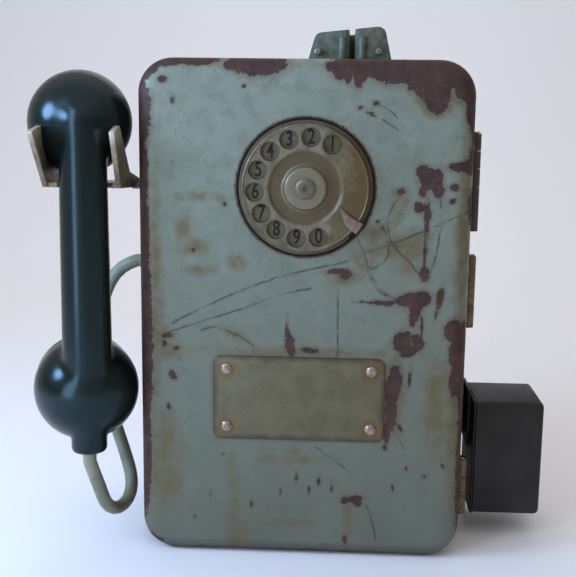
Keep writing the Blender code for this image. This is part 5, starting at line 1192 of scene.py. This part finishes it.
def cap_frame(level, back):
    """Local Z along a bowl's axis, towards its open side."""
    place = handset_frame() @ Matrix.Translation((0, back, level))
    return place @ Matrix.Rotation(-pi / 2, 4, "X")


def hollow_of(name, radius, back, level):
    """The round hollow of a bowl, open past its rim."""
    start = acos(bowl_rim / radius)
    angles = [start + (pi - start) * i / 12 for i in range(13)]
    points = [(radius * sin(angle), radius * cos(angle)) for angle in angles[:-1]]
    past = 0.020
    outline = [(0, past), (points[0][0], past)] + points + [(0, -radius)]
    return settle(lathe(name, outline, 48), cap_frame(level, back))


def handset():
    """The moulding, hollowed at both bowls and trimmed at their rims, and its two caps."""
    cell, beside, ahead, margin = 0.0009, 0.036, 0.021, 0.003
    low = (-beside, -ahead, collar_low_z - margin)
    high = (beside, ear_back + bowl_rim + 2 * margin, ear_z + ear_radius + margin)
    shell = grown("handset_moulding", handset_tree(low, high, cell), {}, bakelite)
    shell = settle(shell, handset_frame())
    bowls = (("ear", ear_z, ear_back, ear_radius), ("mouth", mouth_z, mouth_back, mouth_radius))
    tools = []
    for name, level, back, radius in bowls:
        tools.append(hollow_of(name + "_hollow", radius - bowl_wall, back, level))
        trim = bar("trim", (0, 0, bowl_rim), (0, 0, bowl_rim + 0.02), radius + 0.008, 48)
        tools.append(settle(trim, cap_frame(level, back) @ trim.matrix_world))
    finished(smooth(carve(shell, tools), 50), bakelite, "handset", "handset_shell")
    for name, level, back, radius in bowls:
        cap(name, level, back, radius)


def cap(name, level, back, radius):
    """A screwed cap with rounded edges and two rings of sound holes."""
    low, top, wall, face = 0.0093, 0.0223, 0.0026, 0.0235
    slope, side, inner_side = 0.0024, 0.0054, 0.0065
    rim = sqrt(radius**2 - bowl_rim**2)
    profile = [
        (0, top), (face, top), (rim - slope, top - slope), (rim, top - side), (rim, low),
        (rim - wall, low), (rim - wall, top - inner_side), (face, top - wall), (0, top - wall),
    ]
    place = cap_frame(level, back)
    moulding = lathe(name + "_cap_moulding", rounded_profile(profile, 0.0012, 4), 72)
    moulding = settle(moulding, place)
    rings = []
    for ring, count in ((0.0065, 5), (0.0130, 9)):
        sizes = {"Count": count, "Ring": ring, "First": 0.0, "Step": 2 * pi / count}
        sizes.update({"Radius": 0.0015, "Depth": 0.010})
        holes = grown("sound_holes", arc_of_holes, sizes, bakelite)
        rings.append(settle(holes, place @ Matrix.Translation((0, 0, top))))
    finished(smooth(carve(moulding, rings), 40), bakelite, "handset", name + "_cap")


# Sign, rivets and screws


def sign():
    """The alloy sign on the front, left bare: a thin sheet with rounded corners."""
    form = bmesh.new()
    ring = rounded_outline(sign_width / 2, sign_height / 2, 0.0050, (1, 1, 8))
    made = form.faces.new([form.verts.new((x, 0, z)) for x, z in ring])
    made = bmesh.ops.extrude_face_region(form, geom=[made])
    moved = [v for v in made["geom"] if isinstance(v, bmesh.types.BMVert)]
    bmesh.ops.translate(form, vec=(0, -sign_sheet, 0), verts=moved)
    bmesh.ops.recalc_face_normals(form, faces=form.faces)
    plate = settle(mesh_object("front_sign", form), Matrix.Translation(sign_centre))
    plate = ease(plate, 0.0004, 3, 40)
    finished(smooth(plate), bare_sign, "door", "nameplate")


def number_ring():
    """The ring behind the wheel, with the dark notch beside the finger stop."""
    ring = copy_of("number_plate")
    out, reach, tools = 0.0397, Vector((0, 0.006, 0)), []
    for angle in (-45.8, -42.6, -39.4):
        turned = radians(angle)
        middle = dial_centre + Vector((out * cos(turned), 0, out * sin(turned)))
        tools.append(bar("notch", middle - reach, middle + reach, 0.0017, 24))
    finished(smooth(carve(ring, tools)), plate_alloy, nodes["number_plate"]["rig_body"], "number_plate")


def heads(name, body, places, facing, sizes, material, finish):
    """One piece holding a rivet or screw head at each place, all facing the same way."""
    named = dict(zip(("Radius", "Height", "Slot", "Flat"), sizes))
    thing = smooth(grown(name, fastener_heads, {**named, "Facing": facing}, material, places), 40)
    finished(thing, material, body, slot=finish)


def fasteners():
    """Rivet and screw heads: radius, height, width of the slot, and 1 unless cut flat."""
    front, right = (0.0, -1.0, 0.0), (1.0, 0.0, 0.0)

    def grid(xs, y, zs):
        """A place at each crossing of columns and rows."""
        return [(x, y, z) for x in xs for z in zs]

    x, y, z = sign_centre - Vector((0, sign_sheet, 0))
    places = grid((x - rivet_out, x + rivet_out), y, (z - rivet_up, z + rivet_up))
    heads("sign_rivets", "door", places, front, (0.0036, 0.0018, 0.0, 1.0), rivet_alloy, "steel")
    low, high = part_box("coin_entry_plate")
    places = [(0.0055, low[1], 0.3137), (0.0437, low[1], 0.3140)]
    heads("entry_screws", "casing", places, front, (0.0024, 0.0013, 0.0006, 0.8), zinc, "steel")
    for hinge in ("upper", "middle", "lower"):
        for side, body in (("case", "casing"), ("door", "door")):
            low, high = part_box(f"{hinge}_hinge_{side}_leaf")
            y = high[1] - 0.005 if side == "case" else low[1] + 0.005
            places = grid((low[0] + 0.0012,), y, (low[2] + 0.008, high[2] - 0.008))
            name = f"{hinge}_hinge_{side}_screws"
            heads(name, body, places, right, (0.0027, 0.0009, 0.0006, 0.6), steel, "steel")
    low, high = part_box("terminal_strip")
    ways = 6
    columns = [low[0] + (high[0] - low[0]) / ways * (i + 0.5) for i in range(ways)]
    middle = (low[2] + high[2]) / 2
    places = grid(columns, low[1], (middle - 0.0042, middle + 0.0042))
    heads("terminal_screws", "casing", places, front, (0.0024, 0.0012, 0.0006, 0.6), brass, "brass")
    low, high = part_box("chassis_plate")
    inset_x, inset_z = 0.007, 0.008
    columns = (low[0] + inset_x, high[0] - inset_x)
    places = grid(columns, low[1], (low[2] + inset_z, high[2] - inset_z))
    heads("chassis_screws", "casing", places, front, (0.0032, 0.0014, 0.0008, 0.6), steel, "steel")
    low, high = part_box("side_box_cover")
    places = grid((high[0],), (low[1] + high[1]) / 2, (low[2] + 0.012, high[2] - 0.012))
    heads("side_box_screws", "casing", places, right, (0.0026, 0.0011, 0.0007, 0.6), steel, "steel")


def packed_pieces():
    """The solids whose shape is right, with their edges eased: material, edge and nodes."""
    rows = [
        (steel, 0, "dial_shaft pinion_spindle governor_spindle dial_spring gate_pin lever_pin"),
        (steel, 0.0002, "lock_barrel lock_cam"),
        (stop_steel, 0.0003, "finger_stop"),
        (iron, 0, "dial_base"),
        (iron, 0.0002, "transformer_core"),
        (iron, 0.0003, "coin_magnet_yoke box_bracket"),
        (brass, 0, "main_gear second_gear governor_arm governor_cup"),
        (brass, 0.0002, "dial_bridge"),
        (zinc, 0, "coin_channel condenser receiver_capsule microphone_capsule"),
        (zinc, 0.0002, "coin_gate cash_box"),
        (zinc, 0.0003, "door_catch chassis_plate lever_shelf"),
        (brown_phenolic, 0.0002, "pulse_contacts hook_switch"),
        (brown_phenolic, 0.0003, "terminal_strip"),
        (entry_enamel, 0.0005, "coin_entry_plate"),
        (entry_enamel, 0.0010, "coin_entry_block"),
        (dark_enamel, 0, "side_box_base side_box_cover"),
        (black_cover, 0, "relay"),
        (coil_wire, 0, "coin_magnet_coil"),
        (coil_wire_upright, 0.0004, "transformer_coil"),
        (fork_metal, 0.0006, "hook_lever"),
        (sheath, 0.0003, "cord_bushing"),
    ]
    for hinge, paint in (("upper", rusty_hinge), ("middle", bare_hinge), ("lower", bare_hinge)):
        rows.append((paint, 0.0002, f"{hinge}_hinge_case_leaf {hinge}_hinge_door_leaf"))
        rows.append((steel, 0, f"{hinge}_hinge_pin"))
    for material, edge, names in rows:
        for node in names.split():
            dressed(node, material, edge)
    # The lever presses its spring down by 3 mm as the fork rises, so the spring gets a mesh of its own
    spring = dressed("lever_spring", steel)
    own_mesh(spring)


camera()
handset_cord()
studio()
pale_floor()
arc_of_holes = holes_tree()
fastener_heads = heads_tree()
rear_case()
front_cover()
finger_wheel()
number_ring()
numbers()
handset()
sign()
fasteners()
packed_pieces()
